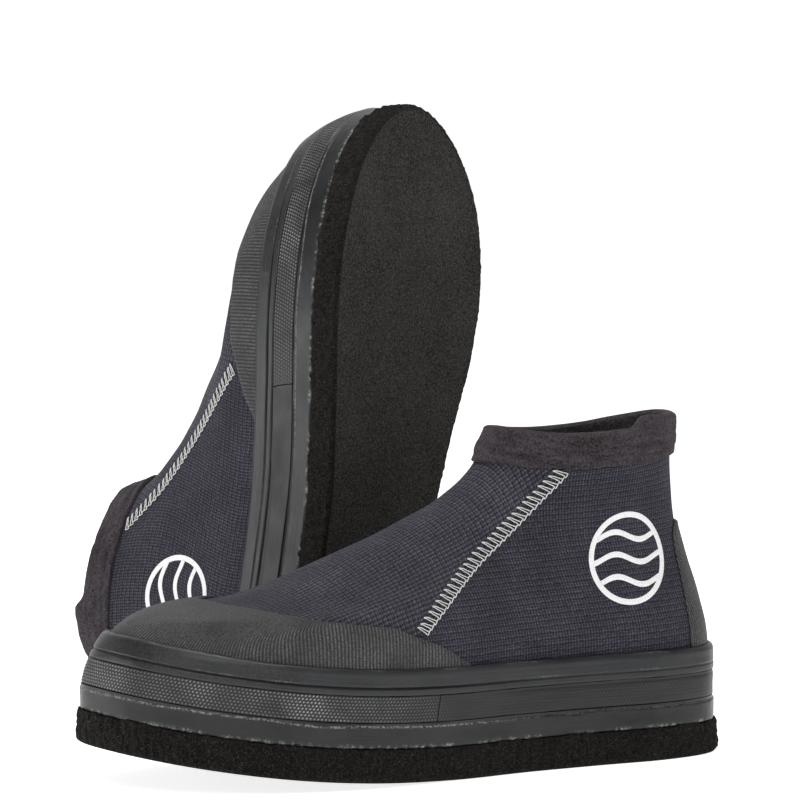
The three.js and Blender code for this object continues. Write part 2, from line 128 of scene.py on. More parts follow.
# The upper's front, heel and seam lines as (key, x). A key is the height on a boot with the usual sizes.
FRONT_PROFILE = (
    (20, 295.6), (26, 295), (32, 293.6), (38, 291.2), (44, 288), (49.5, 284), (55, 278.5),
    (60, 270.5), (65, 259), (68.5, 247), (72.5, 231.5), (79, 216), (88, 196.5), (97, 178),
    (105.5, 158.5), (110.5, 148), (115, 138.5), (121, 128.5), (128, 118.5), (135.5, 111),
    (143, 107), (150, 104.5), (154, 103.5),
)
HEEL_PROFILE = (
    (20, 0.2), (50, 0.2), (57, 0.9), (72, 4.5), (93, 10.5), (105, 14), (119, 16.3),
    (133, 17.3), (150, 16), (154, 15.6),
)
SEAM_PROFILE = (
    (20, 186), (27, 183), (38, 178), (50, 172), (63.6, 163), (80, 146), (95, 129),
    (108, 112), (122, 96), (135.6, 82), (150, 72), (154, 70),
)
# The toe cap's top edge, as (share of the way from heel to toe, key).
TOE_CAP_TOP = (
    (0.48, 50.2), (0.536, 57), (0.622, 63.5), (0.68, 66.6), (0.76, 68.3), (0.83, 69), (1, 70),
)
# The keys of the midsole's top, the foxing's top and the cuff, and the steps between them.
TABLE_SOLE, TABLE_FOXING, TABLE_CUFF = 26.0, 49.5, 150.0
TABLE_BANDS, TABLE_UPPER = TABLE_FOXING - TABLE_SOLE, TABLE_CUFF - TABLE_FOXING
# The soft upper's relief: its swells and dents with their widths, and the dips at its seams.
SEED = 11
SWELL, SWELL_SIZE = 0.55, 34.0
DENT, DENT_SIZE = 0.22, 13.0
SEAM_DIP, SEAM_DIP_WIDTH, HEEL_SEAM_REACH = 0.35, 1.5, 40.0


# ---- numeric helpers -----------------------------------------------------------------------
def smooth(low: float, high: float, value: Array) -> Array:
    """A smooth step from 0 at low to 1 at high."""
    t = np.clip((np.asarray(value, float) - low) / (high - low), 0, 1)
    return t * t * (3 - 2 * t)


def mix(a: Array, b: Array, t: Array) -> Array:
    """The value a share t of the way from a to b."""
    return a + (b - a) * t


def bell(distance: Array, width: float) -> Array:
    """A soft bump of height 1 that fades over a width."""
    return np.exp(-((distance / width) ** 2))


def full_turn(count: int) -> Array:
    """Even turns all the way round, the first at 0."""
    return 2 * np.pi * np.arange(count) / count


def between(a: Array, b: Array, c: Array, d: Array, t: Array) -> Array:
    """A smooth curve from b to c with neighbours a and d, at a share t of the way."""
    curve = 0.5 * (2 * b + (c - a) * t + (2 * a - 5 * b + 4 * c - d) * t**2)
    return curve + 0.5 * (3 * b - a - 3 * c + d) * t**3


def fade_ends(count: int, over: float) -> Array:
    """A share for each row, rising from 0 at both ends to 1 over some rows."""
    return np.clip(np.minimum(np.arange(count), count - 1 - np.arange(count)) / over, 0, 1)


class Profile:
    """A smooth curve through (key, value) points that never overshoots them."""

    def __init__(self, points: Sequence[Pair]) -> None:
        """Works out the slope at each point.

        Args:
            points: The (key, value) pairs, in rising order of key.
        """
        table = np.array(points, float)
        self.keys, self.values = table[:, 0], table[:, 1]
        step = np.diff(self.values) / np.diff(self.keys)
        same = step[:-1] * step[1:] > 0
        total = np.where(same, step[:-1] + step[1:], 1.0)
        inner = np.where(same, 2 * step[:-1] * step[1:] / total, 0.0)
        self.slopes = np.concatenate([step[:1], inner, step[-1:]])

    def at(self, key: Array) -> Array:
        """Reads the curve.

        Args:
            key: Where to read it, of any shape.

        Returns:
            The values, of the same shape.
        """
        key = np.asarray(key, float)
        i = np.clip(np.searchsorted(self.keys, key, side="left") - 1, 0, len(self.keys) - 2)
        width = self.keys[i + 1] - self.keys[i]
        t = np.clip((key - self.keys[i]) / width, 0, 1)
        ends = (2 * t**3 - 3 * t**2 + 1) * self.values[i] + (3 * t**2 - 2 * t**3) * self.values[i + 1]
        bends = (t**3 - 2 * t**2 + t) * self.slopes[i] + (t**3 - t**2) * self.slopes[i + 1]
        return ends + bends * width


class Grain:
    """Smooth seeded noise, read at many points at once."""

    TABLE = 8192

    def __init__(self, seed: int) -> None:
        """Fills the table of lattice values from a seed."""
        self.table = np.random.default_rng(seed).random(self.TABLE) * 2 - 1

    def at(self, points: Array, size: float | Sequence[float]) -> Array:
        """Reads the noise.

        Args:
            points: Places in millimetres, with x, y, z last.
            size: How wide one lump is, one number or one for each axis.

        Returns:
            Values between -1 and 1, one for each place.
        """
        scaled = np.asarray(points, float) / np.asarray(size, float) + 71.3
        cell = np.floor(scaled).astype(np.int64)
        t = scaled - cell
        t = t * t * t * (t * (t * 6 - 15) + 10)
        total = np.zeros(scaled.shape[:-1])
        for corner in range(8):
            step = np.array([corner & 1, corner >> 1 & 1, corner >> 2 & 1])
            at = cell + step
            code = at[..., 0] * 73856093 ^ at[..., 1] * 19349663 ^ at[..., 2] * 83492791
            weight = np.prod(np.where(step == 1, t, 1 - t), axis=-1)
            total += self.table[code % self.TABLE] * weight
        return total

    def rough(self, points: Array, size: float, octaves: int = 3) -> Array:
        """Several sizes of the noise added up, each half as wide and strong as the one before.

        Args:
            points: Places in millimetres, with x, y, z last.
            size: How wide the largest lumps are.
            octaves: How many sizes are added up.

        Returns:
            One value for each place.
        """
        total = np.zeros(np.asarray(points).shape[:-1])
        for step in range(octaves):
            total += self.at(np.asarray(points) + 13.7 * step, size / 2**step) / 2**step
        return total


# ---- the last ------------------------------------------------------------------------------
class Outline:
    """The sole outline inset by a distance, read as y at a given x on each side."""

    SAMPLES = 4000

    def __init__(self, inset: float) -> None:
        """Samples the closed curve through OUTLINE and moves it in along its normals.

        Args:
            inset: How far in the outline is moved, in millimetres.
        """
        knots = np.array(OUTLINE, float)
        turn = np.arange(self.SAMPLES + 1) / self.SAMPLES * len(knots)
        i = np.floor(turn).astype(int)
        t = (turn - i)[:, None]
        a, b, c, d = (knots[(i + k) % len(knots)] for k in (-1, 0, 1, 2))
        curve = between(a, b, c, d, t)
        run = np.roll(curve[:-1], -1, 0) - np.roll(curve[:-1], 1, 0)
        run = np.vstack([run, run[:1]])
        run /= np.linalg.norm(run, axis=1)[:, None]
        moved = curve + inset * np.stack([-run[:, 1], run[:, 0]], 1)
        half = self.SAMPLES // 2
        self._outer = moved[half::-1]
        self._inner = moved[half:]
        self.heel, self.toe = self._outer[0, 0], self._outer[-1, 0]

    def outer(self, x: Array) -> Array:
        """The outer side's y at x."""
        return np.interp(x, self._outer[:, 0], self._outer[:, 1])

    def inner(self, x: Array) -> Array:
        """The inner side's y at x."""
        return np.interp(x, self._inner[:, 0], self._inner[:, 1])


class Last:
    """The boot's shape: the sole's outline and the outside surface of its upper."""

    def __init__(self, sizes: Sizes) -> None:
        """Prepares the curves that the surface is made of.

        Args:
            sizes: The boot's dimensions.
        """
        self.sizes = sizes
        self.front = Profile(FRONT_PROFILE)
        self.heel = Profile(HEEL_PROFILE)
        self.seam = Profile(SEAM_PROFILE)
        self.cap_top = Profile(TOE_CAP_TOP)
        self.base = Outline(sizes.band)
        self.edge = Outline(0.0)
        self.grain = Grain(SEED)

    def key(self, level: Array) -> Array:
        """The profile tables' key for a height on the boot.

        Args:
            level: The height in millimetres, before the toe spring.

        Returns:
            The keys, in the same shape.
        """
        s = self.sizes
        low = TABLE_SOLE + (level - s.midsole_top) * TABLE_BANDS / (s.foxing_top - s.midsole_top)
        high = TABLE_FOXING + (level - s.foxing_top) * TABLE_UPPER / (s.cuff_height - s.foxing_top)
        return np.where(level <= s.foxing_top, low, high)

    def level(self, key: Array) -> Array:
        """The height on the boot for a key of the profile tables.

        Args:
            key: The key, of any shape.

        Returns:
            The heights, in the same shape.
        """
        s = self.sizes
        key = np.asarray(key, float)
        low = s.midsole_top + (key - TABLE_SOLE) * (s.foxing_top - s.midsole_top) / TABLE_BANDS
        high = s.foxing_top + (key - TABLE_FOXING) * (s.cuff_height - s.foxing_top) / TABLE_UPPER
        return np.where(key <= TABLE_FOXING, low, high)

    def lift(self, x: Array) -> Array:
        """How far the toe spring lifts a point at x."""
        reach = np.maximum(0, x - self.sizes.spring_start) / (self.sizes.spring_end - self.sizes.spring_start)
        return self.sizes.toe_spring * reach**2

    def sprung(self, points: Array) -> Array:
        """Points with the toe spring added to their height.

        Args:
            points: Points in millimetres, with x, y, z last.

        Returns:
            The raised points.
        """
        out = np.array(points, float)
        out[..., 2] += self.lift(out[..., 0])
        return out

    def upper(self, theta: Array, level: Array) -> Array:
        """The upper's outside surface before the toe spring.

        Args:
            theta: The turn round the boot: 0 at the toe, positive on the outer side, pi at the heel.
            level: The height in millimetres.

        Returns:
            Points with x, y, z last.
        """
        theta, level = np.broadcast_arrays(np.asarray(theta, float), np.asarray(level, float))
        key = self.key(level)
        share = (1 + np.cos(theta)) / 2
        heel, front = self.heel.at(key), self.front.at(key)
        x = mix(heel, front, share)
        slim = smooth(56, 122, key)
        stretch = 1 - smooth(54, 84, key)
        probe = x + (self.base.heel - heel) * (1 - share) ** 6
        probe = probe + (self.base.toe - front) * stretch * share**4
        outer, inner = self.base.outer(probe), self.base.inner(probe)
        length = 0.02 + 72 * smooth(52, 88, key)
        t = np.clip((front - x) / length, 0, 1)
        low = (outer - inner) / 2 * np.sqrt(1 - (1 - t) ** 2)
        high = self.sizes.cuff_half_width * np.abs(np.sin(theta)) ** 0.92
        half = mix(low, high, slim)
        middle = (outer + inner) / 2 * (1 - slim)
        side = np.where(np.sin(theta) >= 0, 1.0, -1.0)
        wave = 2.5 * np.cos(2 * theta) - 2 * np.cos(theta) + 0.5
        rise = wave * smooth(88, 152, key) ** 2
        return np.stack([x, middle + side * half, level + rise], -1)

    def normal(self, theta: Array, level: Array) -> Array:
        """The outward normal of the upper, level near the sole.

        Args:
            theta: The turn round the boot.
            level: The height in millimetres, before the toe spring.

        Returns:
            Unit vectors with x, y, z last.
        """
        theta, level = np.broadcast_arrays(np.asarray(theta, float), np.asarray(level, float))
        turn, rise = 0.004, 0.25
        across = self.upper(theta + turn, level) - self.upper(theta - turn, level)
        up = self.upper(theta, level + rise) - self.upper(theta, level - rise)
        out = np.cross(across, up)
        out /= np.linalg.norm(out, axis=-1)[..., None]
        out[..., 2] *= smooth(self.sizes.midsole_top + 6, self.sizes.foxing_top + 4, level)
        return out / np.linalg.norm(out, axis=-1)[..., None]

    def relief(self, points: Array) -> Array:
        """How far the soft upper swells or dips at points on its surface.

        Args:
            points: Points in millimetres, with x, y, z last.

        Returns:
            How far out each point is pushed, in millimetres.
        """
        level = points[..., 2]
        soft = smooth(self.sizes.foxing_top + 2, self.sizes.foxing_top + 24, level)
        swell = SWELL * self.grain.at(points, SWELL_SIZE) + DENT * self.grain.at(points + 50, DENT_SIZE)
        seam = bell(points[..., 0] - self.seam_x(level), SEAM_DIP_WIDTH)
        heel = bell(points[..., 1], SEAM_DIP_WIDTH) * (points[..., 0] < HEEL_SEAM_REACH)
        return soft * (swell - SEAM_DIP * (seam + heel))

    def skin(self, theta: Array, level: Array, offset: Array) -> Array:
        """A point of the upper pushed out by an offset, with its relief and the toe spring added.

        Args:
            theta: The turn round the boot.
            level: The height in millimetres, before the toe spring.
            offset: How far outside the surface, in millimetres.

        Returns:
            Points with x, y, z last.
        """
        theta, level, offset = np.broadcast_arrays(
            np.asarray(theta, float), np.asarray(level, float), np.asarray(offset, float)
        )
        points = self.upper(theta, level)
        push = offset + self.relief(points)
        return self.sprung(points + self.normal(theta, level) * push[..., None])

    def theta_at(self, x: Array, level: Array) -> Array:
        """The turn at which the upper passes through x on a level.

        Args:
            x: The x to pass through.
            level: The height in millimetres, before the toe spring.

        Returns:
            The turn on the outer side, from 0 to pi.
        """
        key = self.key(np.asarray(level, float))
        heel, front = self.heel.at(key), self.front.at(key)
        return np.arccos(2 * np.clip((x - heel) / (front - heel), 0, 1) - 1)

    def seam_x(self, level: Array) -> Array:
        """The x of the joint between the vamp and a quarter."""
        return self.seam.at(self.key(np.asarray(level, float)))

    def seam_theta(self, level: Array, shift: float = 0.0) -> Array:
        """The turn of that joint, moved along x by a shift."""
        return self.theta_at(self.seam_x(level) + shift, level)

    def sole_ring(self, count: int) -> tuple[Array, Array]:
        """Points round the sole's edge and the inward direction at each.

        Args:
            count: How many points, an even number, the first at the toe.

        Returns:
            The x and y of each point, and of each inward direction.
        """
        theta = full_turn(count)
        x = mix(self.edge.heel, self.edge.toe, (1 + np.cos(theta)) / 2)
        y = np.where(np.sin(theta) >= 0, self.edge.outer(x), self.edge.inner(x))
        ring = np.stack([x, y], 1)
        run = np.roll(ring, -2, 0) - np.roll(ring, 2, 0)
        run /= np.linalg.norm(run, axis=1)[:, None]
        return ring, np.stack([-run[:, 1], run[:, 0]], 1)

    def sole_wall(self, count: int, height: Array, inset: Array) -> Array:
        """A wall round the sole, before the toe spring.

        Args:
            count: How many points round it.
            height: The rows' heights, for all columns or for each.
            inset: How far in each row lies, for all columns or for each.

        Returns:
            The wall's points: columns first, rows second.
        """
        ring, inward = self.sole_ring(count)
        shape = (count, np.shape(height)[-1])
        inset, height = np.broadcast_to(inset, shape), np.broadcast_to(height, shape)
        flat = ring[:, None] + inset[..., None] * inward[:, None]
        return np.concatenate([flat, height[..., None]], -1)


# ---- placing -------------------------------------------------------------------------------
@dataclass(frozen=True)
class Placing:
    """Where one boot stands: its origin in metres and its own axes in the frame."""

    origin: Triple
    axes: tuple[Triple, ...]

    def place(self, points: Array) -> Array:
        """Turns millimetres on the boot into metres in the frame."""
        return np.asarray(self.origin) + np.asarray(points) @ np.asarray(self.axes) * MILLIMETRE


SOLE_MOUNT_X = 60.0
RIGHT_TURN, RIGHT_LEAN_SIDE, RIGHT_LEAN_BACK = -60.3, 12.5, -4.6


def mount_place(name: str) -> Vector:
    """The place of one of the record's mounts, in metres.

    Args:
        name: The mount's name.

    Returns:
        Its place in the frame.
    """
    for mount in frame["record"]["mounts"]:
        if mount["name"] == name:
            return Vector(mount["pos_m"])
    raise KeyError(name)


def placing_of(foot: Foot) -> Placing:
    """Works out where a boot stands from the mount on its sole.

    Args:
        foot: Which boot.

    Returns:
        The boot's placing.
    """
    if foot is Foot.LEFT:
        turn = Matrix(((-1, 0, 0), (0, -1, 0), (0, 0, 1)))
    else:
        upright = Matrix(((0, 0, -1), (0, -1, 0), (1, 0, 0)))
        yaw = Matrix.Rotation(math.radians(RIGHT_TURN), 3, "Z")
        side = Matrix.Rotation(math.radians(RIGHT_LEAN_SIDE), 3, "Y")
        back = Matrix.Rotation(math.radians(RIGHT_LEAN_BACK), 3, "X")
        turn = back @ side @ yaw @ upright
    origin = mount_place(f"{foot.value}_sole") - turn @ Vector((SOLE_MOUNT_X, 0, 0)) * MILLIMETRE
    axes = tuple(tuple(turn.col[k]) for k in range(3))
    return Placing(tuple(origin), axes)


# ---- mesh building -------------------------------------------------------------------------
@dataclass
class Draft:
    """One piece while it is being built: points in millimetres, faces and their coordinates."""

    points: list[Array] = field(default_factory=list)
    wear_and_light: list[Array] = field(default_factory=list)
    faces: list[tuple[Array, Array, int]] = field(default_factory=list)
    count: int = 0

    def add(self, points: Array, wear_and_light: Array | float = 0.0) -> Array:
        """Adds points.

        Args:
            points: A grid of points with x, y, z last.
            wear_and_light: How abraded the surface is there, from 0 to 1, plus painted light where a piece
                adds it.

        Returns:
            The points' numbers, in the grid's shape.
        """
        shape = points.shape[:-1]
        number = np.arange(int(np.prod(shape))).reshape(shape) + self.count
        self.points.append(points.reshape(-1, 3))
        self.wear_and_light.append(np.broadcast_to(np.asarray(wear_and_light, float), shape).ravel())
        self.count += number.size
        return number

    def sheet(self, number: Array, coords: Array, slot: int = 0) -> None:
        """Adds the four-sided faces of a grid of points.

        Args:
            number: The grid's point numbers.
            coords: The grid's surface coordinates in millimetres.
            slot: The finish's place in the piece's list.
        """
        quads = np.stack([number[:-1, :-1], number[1:, :-1], number[1:, 1:], number[:-1, 1:]], -1)
        spots = np.stack([coords[:-1, :-1], coords[1:, :-1], coords[1:, 1:], coords[:-1, 1:]], -2)
        self.faces.append((quads.reshape(-1, 4), spots.reshape(-1, 4, 2), slot))

    def fan(self, tip: int, row: Array, tip_coord: Array, coords: Array, slot: int = 0) -> None:
        """Adds triangles from one point to a row of points.

        Args:
            tip: The one point's number.
            row: The row's point numbers.
            tip_coord: The one point's surface coordinates.
            coords: The row's surface coordinates.
            slot: The finish's place in the piece's list.
        """
        triangles = np.stack([np.full(len(row) - 1, tip), row[:-1], row[1:]], -1)
        tips = np.broadcast_to(tip_coord, (len(row) - 1, 2))
        spots = np.stack([tips, coords[:-1], coords[1:]], -2)
        self.faces.append((triangles, spots, slot))

    def polygon(self, row: Array, coords: Array, slot: int = 0) -> None:
        """Adds one face with many corners."""
        self.faces.append((row[None, :], coords[None, :], slot))

    def volume(self, points: Array) -> float:
        """The signed volume inside the faces.

        Args:
            points: The points that the faces are numbered by.

        Returns:
            The volume, below 0 when the faces look inward.
        """
        total = 0.0
        for corners, _, _ in self.faces:
            first = points[corners[:, 0]]
            for k in range(1, corners.shape[1] - 1):
                b, c = points[corners[:, k]], points[corners[:, k + 1]]
                total += np.einsum("ij,ij->", first, np.cross(b, c))
        return total

    def build(self, name: str, placing: Placing, finishes: Sequence[Material]) -> bpy.types.Object:
        """Makes the Blender object.

        Args:
            name: The piece's name.
            placing: Where its boot stands.
            finishes: The materials, in the order of the faces' slots.

        Returns:
            The new object, linked to the scene.
        """
        points = placing.place(np.concatenate(self.points))
        inside_out = self.volume(points - points.mean(0)) < 0
        mesh = bpy.data.meshes.new(name)
        corners, spots, starts, slots, at = [], [], [], [], 0
        for block, coords, slot in self.faces:
            if inside_out:
                block, coords = block[:, ::-1], coords[:, ::-1]
            corners.append(block.ravel())
            spots.append(coords.reshape(-1, 2))
            starts.append(at + np.arange(len(block)) * block.shape[1])
            slots.append(np.full(len(block), slot))
            at += block.size
        mesh.vertices.add(len(points))
        mesh.vertices.foreach_set("co", points.astype(np.float32).ravel())
        mesh.loops.add(at)
        mesh.loops.foreach_set("vertex_index", np.concatenate(corners).astype(np.int32))
        mesh.polygons.add(sum(len(s) for s in starts))
        mesh.polygons.foreach_set("loop_start", np.concatenate(starts).astype(np.int32))
        mesh.polygons.foreach_set("material_index", np.concatenate(slots).astype(np.int32))
        mesh.update(calc_edges=True)
        layer = mesh.uv_layers.new(name="cloth")
        layer.uv.foreach_set("vector", np.concatenate(spots).astype(np.float32).ravel())
        worn_and_lit = mesh.attributes.new("wear_and_light", "FLOAT", "POINT")
        worn_and_lit.data.foreach_set("value", np.concatenate(self.wear_and_light).astype(np.float32))
        mesh.validate()
        mesh.shade_smooth()
        mesh.set_sharp_from_angle(angle=math.radians(50))
        for finish in finishes:
            mesh.materials.append(finish)
        thing = bpy.data.objects.new(name, mesh)
        bpy.context.scene.collection.objects.link(thing)
        return thing


def lengths(points: Array, axis: int) -> Array:
    """Distance travelled along one axis of a grid of points, starting from 0.

    Args:
        points: A grid of points.
        axis: The axis of the grid to travel along.

    Returns:
        The distance at each point.
    """
    step = np.linalg.norm(np.diff(points, axis=axis), axis=-1)
    total = np.cumsum(step, axis=axis)
    shape = list(total.shape)
    shape[axis] = 1
    return np.concatenate([np.zeros(shape), total], axis=axis)


def surface_coords(points: Array, middle: int | None = None) -> Array:
    """Surface coordinates in millimetres for a grid of points.

    Args:
        points: A grid of points: columns first, rows second.
        middle: The column that the first coordinate is measured from, or None for the first one.

    Returns:
        Two coordinates for each point.
    """
    across, up = lengths(points, 0), lengths(points, 1)
    if middle is not None:
        across = across - across[middle : middle + 1]
    return np.stack([across, np.broadcast_to(up.mean(0)[None], up.shape)], -1)


def add_shell(draft: Draft, outside: Array, inside: Array, coords: Array, wear_and_light: Array | float = 0.0,
              lining: int = 0) -> None:
    """Adds a thick sheet: an outside grid, an inside grid and the rim between them.

    Args:
        draft: The piece.
        outside: The outside's points.
        inside: The inside's points, in the same shape.
        coords: Surface coordinates of the grid.
        wear_and_light: How abraded the outside is, plus painted light where a piece adds it.
        lining: The finish's place in the list for the inside.
    """
    top, low = draft.add(outside, wear_and_light), draft.add(inside)
    draft.sheet(top, coords)
    draft.sheet(low[::-1], coords[::-1], lining)
    rims = ((low[0], top[0], coords[0]), (top[-1], low[-1], coords[-1]),
            (top[:, 0], low[:, 0], coords[:, 0]), (low[:, -1], top[:, -1], coords[:, -1]))
    for first, second, spots in rims:
        draft.sheet(np.stack([first, second]), np.stack([spots, spots + 0.4]))


def add_band(draft: Draft, points: Array, closed: bool, wear_and_light: Array | float = 0.0) -> None:
    """Adds a band swept round the boot, its section a closed loop of points.

    Args:
        draft: The piece.
        points: Sections first, the section's points second.
        closed: True when the band goes all the way round.
        wear_and_light: How abraded it is at each point, plus painted light where a piece adds it.
    """
    number = draft.add(points, wear_and_light)
    ring = np.concatenate([points, points[:1]]) if closed else points
    loop = np.concatenate([ring, ring[:, :1]], 1)
    numbers = np.concatenate([number, number[:1]]) if closed else number
    numbers = np.concatenate([numbers, numbers[:, :1]], 1)
    across = lengths(loop, 0).mean(1, keepdims=True)
    coords = np.stack(np.broadcast_arrays(across, lengths(loop, 1).mean(0, keepdims=True)), -1)
    draft.sheet(numbers, coords)
    if not closed:
        spots = np.stack([points[0, :, 0] - points[0, 0, 0], points[0, :, 2]], -1)
        draft.polygon(number[0], spots)
        draft.polygon(number[-1][::-1], spots[::-1])


def add_wall(draft: Draft, points: Array, wear_and_light: Array | float = 0.0) -> Array:
    """Adds a sole layer's wall, closed all the way round.

    Args:
        draft: The piece.
        points: The wall's points: columns first, rows second.
        wear_and_light: How abraded it is at each point, plus painted light where a piece adds it.

    Returns:
        The points' numbers.
    """
    number = draft.add(points, wear_and_light)
    ring = np.concatenate([points, points[:1]])
    draft.sheet(np.concatenate([number, number[:1]]), surface_coords(ring))
    return number


def level_face(last: Last, level: float) -> Callable[[Array], Array]:
    """Gives the function that lays a sole layer's face flat.

    Args:
        last: The last.
        level: The face's height before the toe spring.

    Returns:
        A function from any points to the face's final points.
    """

    def flat_face(points: Array) -> Array:
        """Lays points on the level.

        Args:
            points: The points.

        Returns:
            The face's final points.
        """
        out = np.array(points)
        out[..., 2] = level
        return last.sprung(out)

    return flat_face


def add_leaf(draft: Draft, ring: Array, ring_points: Array, finish: Callable[[Array], Array],
             rows: int, top: bool) -> None:
    """Closes a sole layer with a face made of rows of points from its outer to its inner edge.

    Args:
        draft: The piece.
        ring: The edge's point numbers, the first at the toe, an even count.
        ring_points: Those points, before the toe spring.
        finish: Gives the face's final points from flat ones.
        rows: How many steps across.
        top: True for the layer's top, which turns the faces over.
    """
    half = len(ring) // 2
    outer = ring_points[1:half]
    inner = ring_points[:half:-1]
    t = np.linspace(0, 1, rows + 1)[None, 1:-1, None]
    flat = mix(outer[:, None], inner[:, None], t)
    middle = draft.add(finish(flat))
    numbers = np.concatenate([ring[1:half, None], middle, ring[:half:-1, None]], 1)
    spots = np.concatenate([outer[:, None], flat, inner[:, None]], 1)[..., :2]
    toe, heel = ring_points[0, :2], ring_points[half, :2]
    if not top:
        numbers, spots = numbers[:, ::-1], spots[:, ::-1]
    draft.sheet(numbers, spots)
    draft.fan(ring[0], numbers[0], toe, spots[0])
    draft.fan(ring[half], numbers[-1][::-1], heel, spots[-1][::-1])


def tube(draft: Draft, path: Array, lift: Array, radius: float, flat: float = 1.0, around: int = 8) -> None:
    """Adds a thread: a thin tube along a path that lies on a surface.

    Args:
        draft: The piece.
        path: The centre line's points.
        lift: The surface's normal at each point.
        radius: Half the thread's width.
        flat: Its thickness as a share of its width.
        around: How many points round it.
    """
    run = np.gradient(path, axis=0)
    run /= np.linalg.norm(run, axis=1)[:, None]
    across = np.cross(run, lift)
    across /= np.linalg.norm(across, axis=1)[:, None]
    up = np.cross(across, run)
    turn = full_turn(around)
    circle = across[:, None] * np.cos(turn)[None, :, None] + up[:, None] * np.sin(turn)[None, :, None] * flat
    add_band(draft, path[:, None] + circle * radius, closed=False)


# ---- finishes ------------------------------------------------------------------------------
Colour = Triple
Socket = bpy.types.NodeSocket


class Graph:
    """A material's nodes, with short ways to add the usual ones."""

    def __init__(self, name: str) -> None:
        """Starts a material with one principled shader.

        Args:
            name: The material's name.
        """
        self.material = bpy.data.materials.new(name)
        self.material.use_nodes = True
        self.tree = self.material.node_tree
        self.shader = next(n for n in self.tree.nodes if n.type == "BSDF_PRINCIPLED")

    def node(self, kind: str, **settings: object) -> bpy.types.Node:
        """Adds a node and sets its properties.

        Args:
            kind: The node's type.
            **settings: Its properties.

        Returns:
            The new node.
        """
        made = self.tree.nodes.new(kind)
        for name, value in settings.items():
            setattr(made, name, value)
        return made

    def put(self, value: object, socket: Socket) -> None:
        """Links a socket, or sets a constant, on an input.

        Args:
            value: A socket, a number or a colour.
            socket: The input.
        """
        if isinstance(value, bpy.types.NodeSocket):
            self.tree.links.new(value, socket)
        elif socket.type == "RGBA":
            socket.default_value = (*value, 1.0)
        else:
            socket.default_value = value

    def feed(self, **inputs: object) -> None:
        """Feeds the shader's inputs, with _ for a space in their names."""
        for name, value in inputs.items():
            self.put(value, self.shader.inputs[name.replace("_", " ")])

    def cloth(self) -> Socket:
        """The piece's own surface coordinates in millimetres."""
        return self.node("ShaderNodeUVMap", uv_map="cloth").outputs["UV"]

    def place(self) -> Socket:
        """The place on the object, in metres."""
        return self.node("ShaderNodeTexCoord").outputs["Object"]

    def worn_and_lit(self) -> Socket:
        """How abraded the surface is, plus the painted light that some pieces add to the same mask."""
        return self.node("ShaderNodeAttribute", attribute_name="wear_and_light").outputs["Fac"]

    def scaled(self, vector: Socket, scale: Sequence[float]) -> Socket:
        """A vector with each axis multiplied by its own number.

        Args:
            vector: The vector.
            scale: The number for each axis.

        Returns:
            The new vector.
        """
        made = self.node("ShaderNodeMapping")
        self.put(vector, made.inputs["Vector"])
        made.inputs["Scale"].default_value = scale
        return made.outputs["Vector"]

    def axis(self, vector: Socket, name: str) -> Socket:
        """One axis of a vector.

        Args:
            vector: The vector.
            name: X, Y or Z.

        Returns:
            That axis of it.
        """
        made = self.node("ShaderNodeSeparateXYZ")
        self.put(vector, made.inputs[0])
        return made.outputs[name]

    def maths(self, operation: str, a: object, b: object = 0.0, clamp: bool = False) -> Socket:
        """One sum on two values.

        Args:
            operation: Which sum.
            a: The first value.
            b: The second value.
            clamp: True to stop the result at 0 and 1.

        Returns:
            The result.
        """
        made = self.node("ShaderNodeMath", operation=operation, use_clamp=clamp)
        self.put(a, made.inputs[0])
        self.put(b, made.inputs[1])
        return made.outputs[0]

    def times(self, a: object, b: object, clamp: bool = False) -> Socket:
        """The product of two values."""
        return self.maths("MULTIPLY", a, b, clamp)

    def plus(self, a: object, b: object, clamp: bool = False) -> Socket:
        """The sum of two values."""
        return self.maths("ADD", a, b, clamp)

    def noise(self, vector: Socket, scale: float, detail: float = 2.0, rough: float = 0.55) -> Socket:
        """Soft noise between 0 and 1.

        Args:
            vector: Where to read it.
            scale: How many lumps there are to one unit.
            detail: How many finer sizes are added.
            rough: How strong the finer sizes are.

        Returns:
            The noise.
        """
        made = self.node("ShaderNodeTexNoise")
        self.put(vector, made.inputs["Vector"])
        made.inputs["Scale"].default_value = scale
        made.inputs["Detail"].default_value = detail
        made.inputs["Roughness"].default_value = rough
        return made.outputs["Fac"]

    def span(self, value: Socket, low: float, high: float, to_low: float = 0.0,
             to_high: float = 1.0) -> Socket:
        """Stretches a range of values onto another and stops at its ends.

        Args:
            value: The value.
            low: The low end of its range.
            high: The high end of its range.
            to_low: What the low end becomes.
            to_high: What the high end becomes.

        Returns:
            The stretched value.
        """
        made = self.node("ShaderNodeMapRange", clamp=True)
        ends = {"From Min": low, "From Max": high, "To Min": to_low, "To Max": to_high}
        for name, number in ends.items():
            made.inputs[name].default_value = number
        self.put(value, made.inputs["Value"])
        return made.outputs["Result"]

    def blend(self, share: Socket, first: object, second: object) -> Socket:
        """A colour between two others.

        Args:
            share: How much of the second colour there is.
            first: The first colour.
            second: The second colour.

        Returns:
            The colour.
        """
        made = self.node("ShaderNodeMix", data_type="RGBA")
        self.put(share, made.inputs[0])
        self.put(first, made.inputs[6])
        self.put(second, made.inputs[7])
        return made.outputs[2]

    def bump(self, height: Socket, depth: float, below: Socket | None = None) -> Socket:
        """Bumps of a depth in millimetres, on top of other bumps.

        Args:
            height: The height of the bumps, from 0 to 1.
            depth: Their depth in millimetres.
            below: The bumps that they lie on.

        Returns:
            The bent normal.
        """
        made = self.node("ShaderNodeBump")
        made.inputs["Distance"].default_value = depth * MILLIMETRE
        self.put(height, made.inputs["Height"])
        if below is not None:
            self.put(below, made.inputs["Normal"])
        return made.outputs["Normal"]

    def ribs(self, value: Socket, pitch: float) -> Socket:
        """Rounded ribs between 0 and 1, one to each pitch."""
        turn = self.times(value, 2 * math.pi / pitch)
        return self.span(self.maths("SINE", turn), -1, 1)

